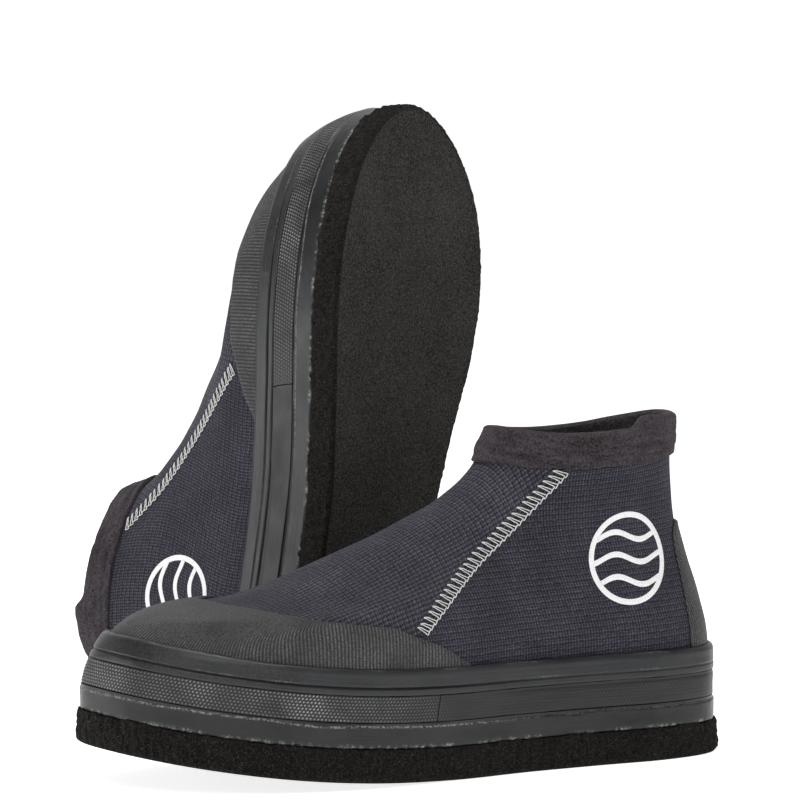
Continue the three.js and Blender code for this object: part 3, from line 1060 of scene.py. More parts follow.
    def phase(self, vector: Socket, wave: Sequence[float], shift: object = 0.0) -> Socket:
        """How many waves a place lies along, for a wave given by its count per millimetre on each axis.

        Args:
            vector: The place.
            wave: The count of waves per millimetre on each axis.
            shift: Waves to add.

        Returns:
            The count of waves.
        """
        made = self.node("ShaderNodeVectorMath", operation="DOT_PRODUCT")
        self.put(vector, made.inputs[0])
        made.inputs[1].default_value = (*wave, 0)
        return self.plus(made.outputs["Value"], shift)

    def weave(self, loop: Sequence[float], row: Sequence[float], stagger: float, wander: float) -> Socket:
        """Crossed lines of small loops.

        Args:
            loop: The loops' wave, as its count per millimetre on each axis.
            row: The rows' wave, given the same way.
            stagger: How far along each row is set from the one below, in loops.
            wander: How far the yarns wander, in loops.

        Returns:
            The height of the yarns between 0 and 1.
        """
        cloth = self.cloth()
        drift = self.span(self.noise(cloth, 0.45), 0.3, 0.7, -wander, wander)
        up = self.phase(cloth, row, drift)
        step = self.times(self.maths("FLOOR", up), stagger)
        loops = self.ribs(self.plus(self.phase(cloth, loop, drift), step), 1.0)
        rows = self.maths("ABSOLUTE", self.maths("SINE", self.times(up, math.pi)))
        rows = self.plus(self.maths("POWER", rows, 0.5), self.ribs(up, 0.5))
        return self.times(self.span(rows, 0, 2, 0.25, 1), self.span(loops, 0, 1, 0.5, 1))


@dataclass(frozen=True)
class Finish:
    """A finish, which dresses a new material."""

    name: str

    def dress(self, g: Graph) -> None:
        """Sets the shader's inputs; the plain finish leaves them as they are."""

    def make(self) -> Material:
        """Makes the material.

        Returns:
            The material.
        """
        g = Graph(self.name)
        self.dress(g)
        return g.material


@dataclass(frozen=True)
class Knit(Finish):
    """Jersey on neoprene: rows of small loops with a soft bloom."""

    loop: Pair = (0.68, -0.07)
    row: Pair = (0.016, -0.345)
    dark: Colour = (0.0022, 0.0023, 0.0036)
    light: Colour = (0.092, 0.089, 0.116)
    depth: float = 0.34

    def dress(self, g: Graph) -> None:
        """Sets the shader's inputs.

        Args:
            g: The material's nodes.
        """
        yarn = g.weave(self.loop, self.row, 0.0, 0.12)
        patch = g.noise(g.place(), METRE / 22, 3)
        fleck = g.noise(g.place(), METRE / 0.75, 3, 0.7)
        lit = g.times(g.maths("POWER", yarn, 1.5), g.span(fleck, 0.3, 0.7, 0.25, 1.5))
        lit = g.times(lit, g.span(patch, 0.3, 0.7, 0.75, 1.15), clamp=True)
        g.feed(Base_Color=g.blend(lit, self.dark, self.light), Roughness=0.88, Sheen_Weight=0.05,
               Sheen_Roughness=0.45, Sheen_Tint=(0.62, 0.66, 0.85), Specular_IOR_Level=0.15,
               Normal=g.bump(fleck, 0.08, g.bump(yarn, self.depth)))


@dataclass(frozen=True)
class Rubber(Finish):
    """Moulded band rubber: semi-gloss, hand-laid, scuffed and powdery pale where it is abraded, with painted
    light where a piece adds it to the same mask.
    """

    base: Colour = (0.0080, 0.0085, 0.0094)
    pale: Colour = (0.0225, 0.0235, 0.0255)
    # chalk_and_light: the pale colour of real powdery scuffing and dust, also used for the painted light on
    # the upper foxing's toe.
    chalk_and_light: Colour = (0.34, 0.335, 0.315)
    gloss: float = 0.40
    grain: float = 0.05

    def dress(self, g: Graph) -> None:
        """Sets the shader's inputs.

        Args:
            g: The material's nodes.
        """
        spot, cloth = g.place(), g.cloth()
        cloud = g.noise(spot, METRE / 28, 4)
        fine = g.noise(spot, METRE / 0.55, 3)
        streak = g.noise(g.scaled(cloth, (0.03, 1.3, 1)), 1.0, 4, 0.65)
        tone = g.plus(g.times(cloud, 0.6), g.times(streak, 0.4))
        colour = g.blend(g.span(tone, 0.36, 0.64), self.base, self.pale)
        crumbs = g.span(g.noise(spot, METRE / 1.1, 3, 0.7), 0.42, 0.62)
        # chalk_and_light_share: real powdery scuffing from the mask, plus the painted light that the upper
        # foxing adds to it.
        chalk_and_light_share = g.times(g.worn_and_lit(), crumbs, clamp=True)
        dust = g.span(g.noise(spot, METRE / 0.5, 2), 0.68, 0.76, 0, 0.12)
        colour = g.blend(dust, colour, self.chalk_and_light)
        colour = g.blend(g.times(chalk_and_light_share, 0.8), colour, self.chalk_and_light)
        rough = g.plus(g.span(tone, 0.35, 0.65, self.gloss - 0.07, self.gloss + 0.1),
                       g.times(chalk_and_light_share, 0.35), clamp=True)
        bumps = g.bump(fine, self.grain, g.bump(streak, 0.10))
        g.feed(Base_Color=colour, Roughness=rough, Specular_IOR_Level=0.36,
               Normal=g.bump(chalk_and_light_share, 0.12, bumps))


@dataclass(frozen=True)
class StripRubber(Finish):
    """Textured strip rubber: dark between the diamonds, with a painted highlight on their tips."""

    base: Colour = (0.0050, 0.0052, 0.0055)
    pale: Colour = (0.0125, 0.0129, 0.0137)
    # tip: the colour of the painted highlight on the diamond tips.
    tip: Colour = (0.44, 0.445, 0.44)

    def dress(self, g: Graph) -> None:
        """Sets the shader's inputs.

        Args:
            g: The material's nodes.
        """
        spot = g.place()
        cloud = g.noise(spot, METRE / 14, 3)
        fine = g.noise(spot, METRE / 0.5, 3)
        streak = g.noise(g.scaled(g.cloth(), (0.03, 1.1, 1)), 1.0, 4, 0.65)
        colour = g.blend(g.span(streak, 0.35, 0.65), self.base, self.pale)
        # Painted highlight: the diamond tips are lightened toward the tip colour, in place of their lit tops.
        tip_highlight = g.times(g.worn_and_lit(), g.span(fine, 0.3, 0.65, 0.5, 1.1))
        tip_highlight = g.times(tip_highlight, g.span(cloud, 0.3, 0.7, 0.35, 1.2), clamp=True)
        g.feed(Base_Color=g.blend(tip_highlight, colour, self.tip), Roughness=g.span(cloud, 0.3, 0.7, 0.40, 0.55),
               Specular_IOR_Level=0.36, Normal=g.bump(fine, 0.05, g.bump(streak, 0.08)))


@dataclass(frozen=True)
class CapRubber(Finish):
    """Cap rubber pressed with fine ribs, each broken into small dots."""

    base: Colour = (0.0035, 0.0037, 0.0036)
    pale: Colour = (0.125, 0.130, 0.127)
    pitch: float = 1.7
    row: float = 1.3

    def dress(self, g: Graph) -> None:
        """Sets the shader's inputs.

        Args:
            g: The material's nodes.
        """
        spot = g.place()
        dots = g.weave((1 / self.pitch, 0), (0, 1 / self.row), 0.0, 0.04)
        ribs = g.ribs(g.axis(g.cloth(), "X"), self.pitch)
        height = g.plus(g.times(dots, 0.6), g.times(ribs, 0.4))
        cloud = g.noise(spot, METRE / 18, 3)
        fine = g.noise(spot, METRE / 0.9, 3, 0.7)
        tone = g.times(g.maths("POWER", height, 1.5), g.span(cloud, 0.3, 0.7, 0.5, 1.1))
        tone = g.times(tone, g.span(fine, 0.3, 0.7, 0.1, 1.6), clamp=True)
        g.feed(Base_Color=g.blend(tone, self.base, self.pale), Roughness=g.span(cloud, 0.3, 0.7, 0.52, 0.68),
               Specular_IOR_Level=0.35, Normal=g.bump(fine, 0.05, g.bump(height, 0.30)))


@dataclass(frozen=True)
class Felt(Finish):
    """Thick pressed felt: nearly black, with pale fibre ends and a matted nap."""

    dark: Colour = (0.0016, 0.0014, 0.0012)
    brown: Colour = (0.0170, 0.0150, 0.0132)
    fibre: Colour = (0.160, 0.150, 0.135)
    upright: float = 1.0

    def dress(self, g: Graph) -> None:
        """Sets the shader's inputs.

        Args:
            g: The material's nodes.
        """
        spot = g.place()
        mat = g.noise(spot, METRE / 0.95, 4, 0.75)
        patch = g.noise(spot, METRE / 30, 2)
        fibres = g.noise(g.scaled(g.cloth(), (1, self.upright, 1)), 3.2, 3, 0.75)
        ends = g.span(g.times(fibres, g.span(mat, 0.3, 0.7, 0.8, 1.15)), 0.58, 0.74)
        tone = g.plus(g.times(mat, 0.88), g.times(patch, 0.12))
        colour = g.blend(g.span(tone, 0.38, 0.64), self.dark, self.brown)
        colour = g.blend(g.times(ends, 0.75), colour, self.fibre)
        bumps = g.bump(mat, 0.55, g.bump(g.noise(spot, METRE / 5, 2), 0.5))
        g.feed(Base_Color=colour, Roughness=1.0, Specular_IOR_Level=0.05, Sheen_Weight=0.04,
               Sheen_Roughness=0.6, Sheen_Tint=(0.75, 0.72, 0.68), Normal=g.bump(fibres, 0.3, bumps))


@dataclass(frozen=True)
class Binding(Finish):
    """Stretch binding: a brushed fine knit with pale lint."""

    dark: Colour = (0.0045, 0.0036, 0.0042)
    light: Colour = (0.070, 0.061, 0.067)
    lint: Colour = (0.15, 0.13, 0.14)
    pitch: float = 0.7

    def dress(self, g: Graph) -> None:
        """Sets the shader's inputs.

        Args:
            g: The material's nodes.
        """
        spot = g.place()
        yarn = g.weave((1 / self.pitch, 0), (0, 0.9 / self.pitch), 0.5, 0.2)
        fuzz = g.noise(spot, METRE / 1.0, 4, 0.75)
        patch = g.noise(g.scaled(g.cloth(), (0.05, 0.25, 1)), 1.0, 3, 0.6)
        lint = g.span(g.noise(spot, METRE / 0.7, 2), 0.62, 0.74, 0, 0.7)
        tone = g.times(g.span(yarn, 0, 1, 0.4, 1), g.span(fuzz, 0.32, 0.68, 0.05, 1.5))
        tone = g.times(tone, g.span(patch, 0.35, 0.65, 0.55, 1.25), clamp=True)
        colour = g.blend(lint, g.blend(tone, self.dark, self.light), self.lint)
        bumps = g.bump(fuzz, 0.4, g.bump(patch, 0.4, g.bump(yarn, 0.12)))
        g.feed(Base_Color=colour, Roughness=0.95, Specular_IOR_Level=0.1, Sheen_Weight=0.08,
               Sheen_Roughness=0.5, Sheen_Tint=(0.72, 0.62, 0.68), Normal=bumps)


@dataclass(frozen=True)
class Thread(Finish):
    """Twisted polyester sewing thread."""

    base: Colour = (0.46, 0.455, 0.44)
    pale: Colour = (0.80, 0.80, 0.78)

    def dress(self, g: Graph) -> None:
        """Sets the shader's inputs.

        Args:
            g: The material's nodes.
        """
        cloth = g.cloth()
        twist = g.ribs(g.plus(g.axis(cloth, "X"), g.axis(cloth, "Y")), 0.55)
        soil = g.noise(g.place(), METRE / 3, 3)
        colour = g.blend(g.times(twist, g.span(soil, 0.3, 0.7, 0.5, 1)), self.base, self.pale)
        g.feed(Base_Color=colour, Roughness=0.5, Sheen_Weight=0.2, Normal=g.bump(twist, 0.08))


@dataclass(frozen=True)
class Print(Finish):
    """Thick white ink on knit, so that the knit's loops show through it."""

    base: Colour = (0.50, 0.50, 0.51)
    pale: Colour = (0.80, 0.80, 0.80)

    def dress(self, g: Graph) -> None:
        """Sets the shader's inputs.

        Args:
            g: The material's nodes.
        """
        yarn = g.weave(Knit.loop, Knit.row, 0.0, 0.12)
        fleck = g.noise(g.place(), METRE / 0.9, 3)
        cover = g.span(yarn, 0.05, 0.6, 0.72, 1)
        tone = g.times(cover, g.span(fleck, 0.25, 0.5, 0.45, 1), clamp=True)
        g.feed(Base_Color=g.blend(tone, self.base, self.pale), Roughness=0.6, Normal=g.bump(yarn, 0.12))


@dataclass(frozen=True)
class Cloth(Finish):
    """A plain fine cloth, for linings, insoles, boards and tapes."""

    dark: Colour
    light: Colour
    pitch: float = 0.9
    roughness: float = 0.92
    depth: float = 0.12

    def dress(self, g: Graph) -> None:
        """Sets the shader's inputs.

        Args:
            g: The material's nodes.
        """
        spot = g.place()
        slant = 0.7 / self.pitch
        yarn = g.weave((slant, slant), (-slant, slant), 0.0, 0.1)
        fleck = g.noise(spot, METRE / 0.9, 3)
        stain = g.noise(spot, METRE / 25, 3)
        tone = g.times(yarn, g.span(fleck, 0.3, 0.7, 0.6, 1.2))
        tone = g.times(tone, g.span(stain, 0.3, 0.7, 0.6, 1.1), clamp=True)
        g.feed(Base_Color=g.blend(tone, self.dark, self.light), Roughness=self.roughness,
               Specular_IOR_Level=0.25, Sheen_Weight=0.15,
               Normal=g.bump(fleck, 0.1, g.bump(yarn, self.depth)))


@dataclass(frozen=True)
class FloorPaint(Finish):
    """The studio's light table: matt, very pale and lit from below."""

    base: Colour = (0.80, 0.80, 0.80)
    pale: Colour = (0.84, 0.84, 0.84)
    glow: float = 0.80

    def dress(self, g: Graph) -> None:
        """Sets the shader's inputs.

        Args:
            g: The material's nodes.
        """
        cloud = g.noise(g.place(), 3.0, 3)
        g.feed(Base_Color=g.blend(cloud, self.base, self.pale), Roughness=0.9, Specular_IOR_Level=0.1,
               Emission_Color=(1, 1, 1), Emission_Strength=self.glow)


class Kit:
    """All the finishes, made once and shared by both boots."""

    def __init__(self) -> None:
        """Makes the materials."""
        self.felt_wall = Felt("felt wall", upright=0.3).make()
        self.felt_base = Felt("felt base", dark=(0.0020, 0.0018, 0.0016), brown=(0.056, 0.053, 0.050),
                               fibre=(0.30, 0.29, 0.27)).make()
        self.rubber = Rubber("band rubber").make()
        # A darker copy of the band rubber for the lower band: painted shade that offsets the light the
        # glowing floor throws on it.
        self.shaded_low_rubber = Rubber("shaded lower band rubber", base=(0.0052, 0.0055, 0.0061),
                                 pale=(0.0150, 0.0157, 0.0172)).make()
        self.strip_rubber = StripRubber("strip rubber").make()
        self.cap = CapRubber("cap rubber").make()
        self.heel = CapRubber("heel rubber", pitch=1.25, row=1.35).make()
        self.vamp = Knit("vamp knit", loop=(0.174, -0.339), row=(0.391, 0.056), dark=(0.0016, 0.0016, 0.0026),
                         light=(0.108, 0.105, 0.131)).make()
        self.quarter = Knit("quarter knit").make()
        self.lining = Cloth("lining", (0.008, 0.008, 0.009), (0.05, 0.05, 0.053)).make()
        self.binding = Binding("binding").make()
        self.thread = Thread("thread").make()
        self.ink = Print("ink").make()
        self.foam = Cloth("insole cloth", (0.014, 0.0145, 0.016), (0.06, 0.062, 0.066), 1.1).make()
        self.board = Cloth("insole board", (0.09, 0.075, 0.055), (0.23, 0.20, 0.16), 0.8).make()


# ---- the pieces of one boot ----------------------------------------------------------------
@dataclass
class Boot:
    """What every piece of one boot needs: its foot, last, placing and finishes."""

    foot: Foot
    last: Last
    placing: Placing
    kit: Kit

    def finish(self, draft: Draft, name: str, slot: str, finishes: Sequence[Material]) -> None:
        """Turns a draft into the piece that stands for its solid, riding on the boot's body.

        Args:
            draft: The piece.
            name: The piece's name.
            slot: The slot of the piece's finish; not used.
            finishes: Its materials.
        """
        piece = draft.build(f"{self.foot.value}.{name}", self.placing, finishes)
        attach(piece, f"{self.foot.value}_boot")
        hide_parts(f"{self.foot.value}_{name}")
        LOG.info("%s: %d faces", piece.name, len(piece.data.polygons))


@dataclass
class FeltSole:
    """The thick felt outsole, with a matted wall and a shaggy upper lip."""

    around: int = 1200
    rows: int = 20
    base_rows: int = 84
    clump: float = 0.60
    clump_size: float = 2.4
    streak: float = 0.42
    streak_size: Triple = (1.0, 1.0, 7.0)
    nap: float = 0.34
    nap_size: float = 2.2
    hollow: float = 0.12
    hollow_size: float = 14.0
    lip: float = 1.0
    lip_size: float = 5.0
    tuft_size: float = 1.5
    lip_reach: float = 4.0
    lip_limits: Pair = (-0.7, 0.9)
    seed: int = 21

    def wall(self, last: Last, grain: Grain) -> Array:
        """The matted wall and its shaggy lip, before the toe spring.

        Args:
            last: The last.
            grain: The noise that roughens it.

        Returns:
            The points: columns first, rows second.
        """
        felt = last.sizes.felt
        swell = Profile(((0, 0.3), (0.5, -0.9), (1.6, -1.5), (felt - 1.5, -1.1), (felt, -0.7)))
        height = np.concatenate([[0, 0.35, 0.9], np.linspace(1.6, felt - 0.7, self.rows - 6),
                                 [felt - 0.1, felt + 0.15, felt]])
        inset = swell.at(height)
        inset[-2:] = (-0.25, 0.2)
        wall = last.sole_wall(self.around, height, inset)
        rough = self.clump * grain.rough(wall, self.clump_size)
        rough = rough + self.streak * grain.at(wall, self.streak_size)
        push = rough * fade_ends(self.rows, 2)
        wall[..., :2] -= push[..., None] * last.sole_ring(self.around)[1][:, None]
        edge = wall[:, -1] * (1, 1, 0)
        ragged = self.lip * (grain.rough(edge, self.lip_size) + 0.5 * grain.at(edge, self.tuft_size))
        near = smooth(felt - self.lip_reach, felt, height)
        near[-1] = 0
        wall[..., 2] += np.clip(ragged, *self.lip_limits)[:, None] * near[None]
        wall[..., 2] = np.maximum(wall[..., 2], 0)
        return wall

    def build(self, boot: Boot) -> None:
        """Builds the piece.

        Args:
            boot: The boot it is for.
        """
        last, draft, grain = boot.last, Draft(), Grain(self.seed)
        wall = self.wall(last, grain)
        number = add_wall(draft, last.sprung(wall))

        def base(flat: Array) -> Array:
            """The base's napped points from flat ones.

            Args:
                flat: The flat points.

            Returns:
                The napped points.
            """
            out = np.array(flat)
            out[..., 2] = self.nap * (0.5 + 0.5 * grain.rough(flat, self.nap_size))
            out[..., 2] += self.hollow * (1 + grain.at(flat, self.hollow_size))
            return last.sprung(out)

        top = level_face(last, last.sizes.felt)
        add_leaf(draft, number[:, 0], wall[:, 0], base, self.base_rows, top=False)
        add_leaf(draft, number[:, -1], wall[:, -1], top, 2, top=True)
        draft.faces[1:] = [(corners, spots, 1) for corners, spots, _ in draft.faces[1:]]
        boot.finish(draft, "felt_outsole", "felt", [boot.kit.felt_wall, boot.kit.felt_base])


@dataclass
class Midsole:
    """The smooth lower rubber band, with a hand-cut upper edge scuffed powdery pale in places."""

    around: int = 900
    rows: int = 30
    wave: float = 0.32
    wave_size: Triple = (18.0, 18.0, 9.0)
    cut: float = 0.6
    cut_size: float = 22.0
    cut_drop: float = 1.5
    step: float = 0.38
    heel_reach: Pair = (150.0, 70.0)
    scuff_and_light: float = 1.6
    scuff_size: float = 38.0
    scuff_and_light_reach: Pair = (100.0, 160.0)
    crumb: float = 1.3
    seed: int = 31

    def heights(self, s: Sizes) -> Array:
        """The rows' heights, closer together near the edges.

        Args:
            s: The boot's sizes.

        Returns:
            The heights, from low to high.
        """
        low, high = s.felt + s.gap, s.midsole_top
        middle = np.linspace(low + 1, high - 1.2, self.rows - 8)
        above = high - np.array([0.8, 0.45, 0.15, 0])
        return np.concatenate([low + np.array([0, 0.12, 0.3, 0.6]), middle, above])

    def build(self, boot: Boot) -> None:
        """Builds the piece.

        Args:
            boot: The boot it is for.
        """
        last, s, draft = boot.last, boot.last.sizes, Draft()
        grain = Grain(self.seed)
        low, high = s.felt + s.gap, s.midsole_top
        side = Profile(((low, 1.0), (low + 0.35, 0.35), (low + 1.2, 0.1), (high - 1.5, 0.1),
                        (high - 0.4, 0.2), (high, 0.45)))
        height = self.heights(s)
        wall = last.sole_wall(self.around, height, side.at(height))
        inward = last.sole_ring(self.around)[1]
        flat = wall * (1, 1, 0)
        heel = smooth(*self.heel_reach, flat[..., 0])
        line = high - self.cut_drop + self.cut * (1 + heel) * grain.rough(flat, self.cut_size)
        line = line + 0.12 * grain.at(flat, 1.6) - 0.5 * heel
        above = smooth(-0.12 - 0.4 * heel, 0.12, wall[..., 2] - line) * (1 + 0.8 * heel)
        wave = self.wave * (1 + 0.6 * heel) * grain.at(wall, self.wave_size)
        hollow = wave + 0.05 * grain.at(wall, 3.0) + self.step * above
        wall[..., :2] += (hollow * fade_ends(self.rows, 3))[..., None] * inward[:, None]
        # On the midsole, scuff_and_light is powdery scuffing along the cut edge, stronger toward the toe.
        patchy = smooth(-0.8, -0.1, grain.at(flat, self.scuff_size) + 0.5 * grain.at(flat, 9.0))
        patchy = patchy * mix(0.25, 1.0, smooth(*self.scuff_and_light_reach, wall[..., 0]))
        wear_and_light = self.scuff_and_light * bell(wall[..., 2] - line, 0.34) * patchy
        crumb = smooth(-0.6, 0.3, grain.at(flat, 9.0)) * smooth(-0.3, 0.3, grain.at(flat, 1.3))
        wear_and_light = wear_and_light + self.crumb * bell(wall[..., 2] - low - 0.9, 0.8) * crumb
        number = add_wall(draft, last.sprung(wall), np.clip(wear_and_light, 0, 1.2))
        for row, top in ((0, False), (-1, True)):
            add_leaf(draft, number[:, row], wall[:, row], level_face(last, height[row]), 2, top)
        # The lower band uses the darker copy of the band rubber, as painted shade against the floor's glow.
        boot.finish(draft, "rubber_midsole", "band_rubber", [boot.kit.shaded_low_rubber])


class Stretch(Enum):
    """The two lengths of textured strip."""

    TOE = "toe_bumper"
    SIDE = "side_foxing"


@dataclass
class Strip:
    """A strip pressed with small diamonds, round the toe or round the sides and heel."""

    stretch: Stretch
    end: float = 1.51
    gap: float = 0.003
    pitch: float = 1.75
    rise: float = 1.4
    diamond_rows: int = 8
    diamond: Pair = (0.92, 0.88)
    tip: float = 0.5
    cut_tip: float = 0.75
    fade_from: float = 185.0
    fade_to: float = 145.0
    plain: float = 0.08
    over_skin: Pair = (0.43, 0.115)
    heel_reach: Pair = (150.0, 80.0)
    wave: float = 0.10
    wave_size: Triple = (16.0, 16.0, 8.0)
    # tip_highlight_falloff: how closely the painted highlight keeps to the diamond tips.
    tip_highlight_falloff: float = 2.6
    ragged: float = 0.22
    seed: int = 41

    def inside(self, boot: Boot, theta: Array) -> Array:
        """How far out the strip's inner face lies: on the caps at toe and heel, else on the knit.

        Args:
            boot: The boot it is for.
            theta: The turn round the boot.

        Returns:
            The distance from the knit at each turn.
        """
        s = boot.last.sizes
        share = (1 + np.cos(theta)) / 2
        covered = (share > self.over_skin[0]) | (share < self.over_skin[1])
        return np.where(covered, s.skin_gap + s.skin + s.gap, s.gap)

    def build(self, boot: Boot) -> None:
        """Builds the piece.

        Args:
            boot: The boot it is for.
        """
        last, s, draft = boot.last, boot.last.sizes, Draft()
        low = s.midsole_top + s.gap
        high = low + s.strip
        if self.stretch is Stretch.TOE:
            first, final, centre = -self.end, self.end, 0.0
        else:
            first, final, centre = self.end + self.gap, 2 * math.pi - self.end - self.gap, math.pi
        fine = np.linspace(first, final, 6001)
        line = last.sprung(last.upper(fine, (low + high) / 2) + last.normal(fine, (low + high) / 2) * s.band)
        run = np.concatenate([[0], np.cumsum(np.linalg.norm(np.diff(line, axis=0), axis=1))])
        run -= np.interp(centre, fine, run)
        step = self.pitch / 4
        marks = np.arange(math.ceil(run[0] / step), math.floor(run[-1] / step) + 1) * step
        marks = np.concatenate([[run[0]], marks[1:-1], [run[-1]]])
        theta = np.interp(marks, run, fine)
        edge = (s.strip - (self.diamond_rows - 1) * self.rise) / 2
        margin = edge - self.rise / 2
        rows = low + margin + np.arange(self.diamond_rows * 4 + 1) * self.rise / 4
        level = np.concatenate([[low, low, low + 0.1], rows, [high - 0.1, high, high]])
        count = len(level)
        rank = ((level - low - edge) / self.rise)[None]
        along = marks[:, None] / self.pitch
        diamond = np.zeros((len(marks), count))
        for shift in (0.0, 0.5):
            across = np.abs((along + 0.5 + shift) % 1 - 0.5) * self.pitch / self.diamond[0]
            up = np.abs((rank / 2 + 0.5 + shift) % 1 - 0.5) * 2 * self.rise / self.diamond[1]
            diamond = np.maximum(diamond, 1 - across - up)
        diamond = np.minimum(diamond, self.cut_tip) / self.cut_tip
        grain = Grain(self.seed)
        place = last.upper(theta[:, None], level[None])
        strength = mix(self.plain, 1.0, smooth(self.fade_to, self.fade_from, place[..., 0]))
        strength = strength * (0.85 + 0.2 * grain.at(place, 9.0))
        inset = np.zeros(count)
        inset[1], inset[2], inset[-3], inset[-2] = 0.3, 0.05, 0.05, 0.3
        body = np.zeros(count)
        body[3:-3] = 1
        offset = s.band - 0.3 - inset[None] + body * self.tip * strength * diamond
        heel = smooth(*self.heel_reach, place[..., 0])
        offset = offset + body * self.wave * (1 + 1.8 * heel) * grain.at(place, self.wave_size)
        offset = offset - 0.35 * heel * body * bell(level[None] - high + 0.8, 1.2)
        hidden = self.inside(boot, theta)
        offset[:, 0] = hidden
        offset[:, -1] = hidden
        patchy = mix(0.55, 1.0, smooth(-0.4, 0.5, grain.at(place, 14.0)))
        # Painted highlight on the diamond tips, fading toward the heel with the diamonds; the strip rubber
        # reads it from this mask.
        wear_and_light = body * strength * diamond**self.tip_highlight_falloff * patchy
        ragged = self.ragged * grain.rough(place[:, -1] * (1, 1, 0), 12.0)
        shift = np.zeros((len(theta), count))
        shift[:, -3:-1] = np.minimum(ragged, 0.1)[:, None]
        points = last.skin(theta[:, None], level[None] + shift, offset)
        add_band(draft, points, closed=False, wear_and_light=wear_and_light)
        boot.finish(draft, self.stretch.value, "band_rubber", [boot.kit.strip_rubber])


@dataclass
class UpperFoxing:
    """The smooth upper band round the whole boot, with a groove above its lower edge."""

    around: int = 1100
    groove_at: float = 0.30
    groove_depth: float = 0.95
    groove_width: float = 0.42
    wave: float = 0.16
    wave_size: Triple = (20.0, 20.0, 7.0)
    heel_reach: Pair = (170.0, 80.0)
    ragged: float = 0.32
    skirt_key: float = 45.0
    # scuff_and_light: painted light, a faint lightening of the band that grows toward the toe, where the key
    # light falls.
    scuff_and_light: float = 0.045
    scuff_and_light_reach: Pair = (140.0, 260.0)
    joint: float = 0.06
    seed: int = 51

    def build(self, boot: Boot) -> None:
        """Builds the piece.

        Args:
            boot: The boot it is for.
        """
        last, s, draft = boot.last, boot.last.sizes, Draft()
        grain = Grain(self.seed)
        low = s.strip_top + self.joint
        high = s.strip_top + s.gap + s.foxing
        theta = full_turn(self.around)
        groove = low + s.foxing * self.groove_at
        rows = np.unique(np.concatenate([np.linspace(low + 0.8, high - 1.4, 22),
                                         groove + np.array([-1, -0.6, -0.35, -0.15, 0, 0.15, 0.35, 0.6, 1])]))
        level = np.concatenate([[low, low, low + 0.25], rows, [high - 0.7, high - 0.25, high, high],
                                [float(last.level(self.skirt_key))]])
        side = Profile(((low, -0.45), (low + 0.3, -0.15), (low + 0.9, -0.05), (high - 2.4, -0.1),
                        (high - 0.8, -0.6), (high, -1.7)))
        place = last.upper(theta[:, None], level[None])
        flat = place * (1, 1, 0)
        offset = s.band + side.at(level)[None]
        heel = smooth(*self.heel_reach, place[..., 0])
        offset = offset - self.groove_depth * bell(level - groove, self.groove_width)[None] * (1 - 0.6 * heel)
        crease = level - high + 3.4 + 0.9 * grain.at(flat, 30.0)
        offset = offset - 0.10 * bell(crease, 0.45) * grain.at(flat, 45.0)
        body = np.zeros(len(level))
        body[2:-3] = 1
        wave = self.wave * (1 + heel) * grain.at(place, self.wave_size) + 0.04 * grain.at(place, 2.5)
        offset = offset + body * wave
        strip = Strip(Stretch.TOE)
        hidden = strip.inside(boot, theta)
        for column in (0, -2, -1):
            offset[:, column] = hidden
        shift = np.zeros_like(offset)
        ragged = self.ragged * grain.rough(place[:, -3] * (1, 1, 0), 16.0)
        shift[:, -6:-1] = ragged[:, None] * np.array([0.2, 0.7, 1, 1, 1])
        points = last.skin(theta[:, None], level[None] + shift, offset)
        edge = bell(level - high, 0.5) * smooth(0.1, 0.8, grain.rough(flat, 15.0)) * 0.6
        rim = bell(level - groove - 0.7, 0.35) * smooth(0.0, 0.8, grain.rough(flat + 40, 18.0)) * 0.45
        # Painted light: the band is lightened toward the toe as if lit there; it goes into the same mask as
        # the real pale edge marks.
        scuff_and_light = self.scuff_and_light * smooth(*self.scuff_and_light_reach, place[..., 0])
        scuff_and_light = scuff_and_light * (1 + 0.6 * grain.at(place, (14, 14, 5)))
        add_band(draft, points, closed=True, wear_and_light=(edge + rim + scuff_and_light) * body)
        boot.finish(draft, "upper_foxing", "band_rubber", [boot.kit.rubber])


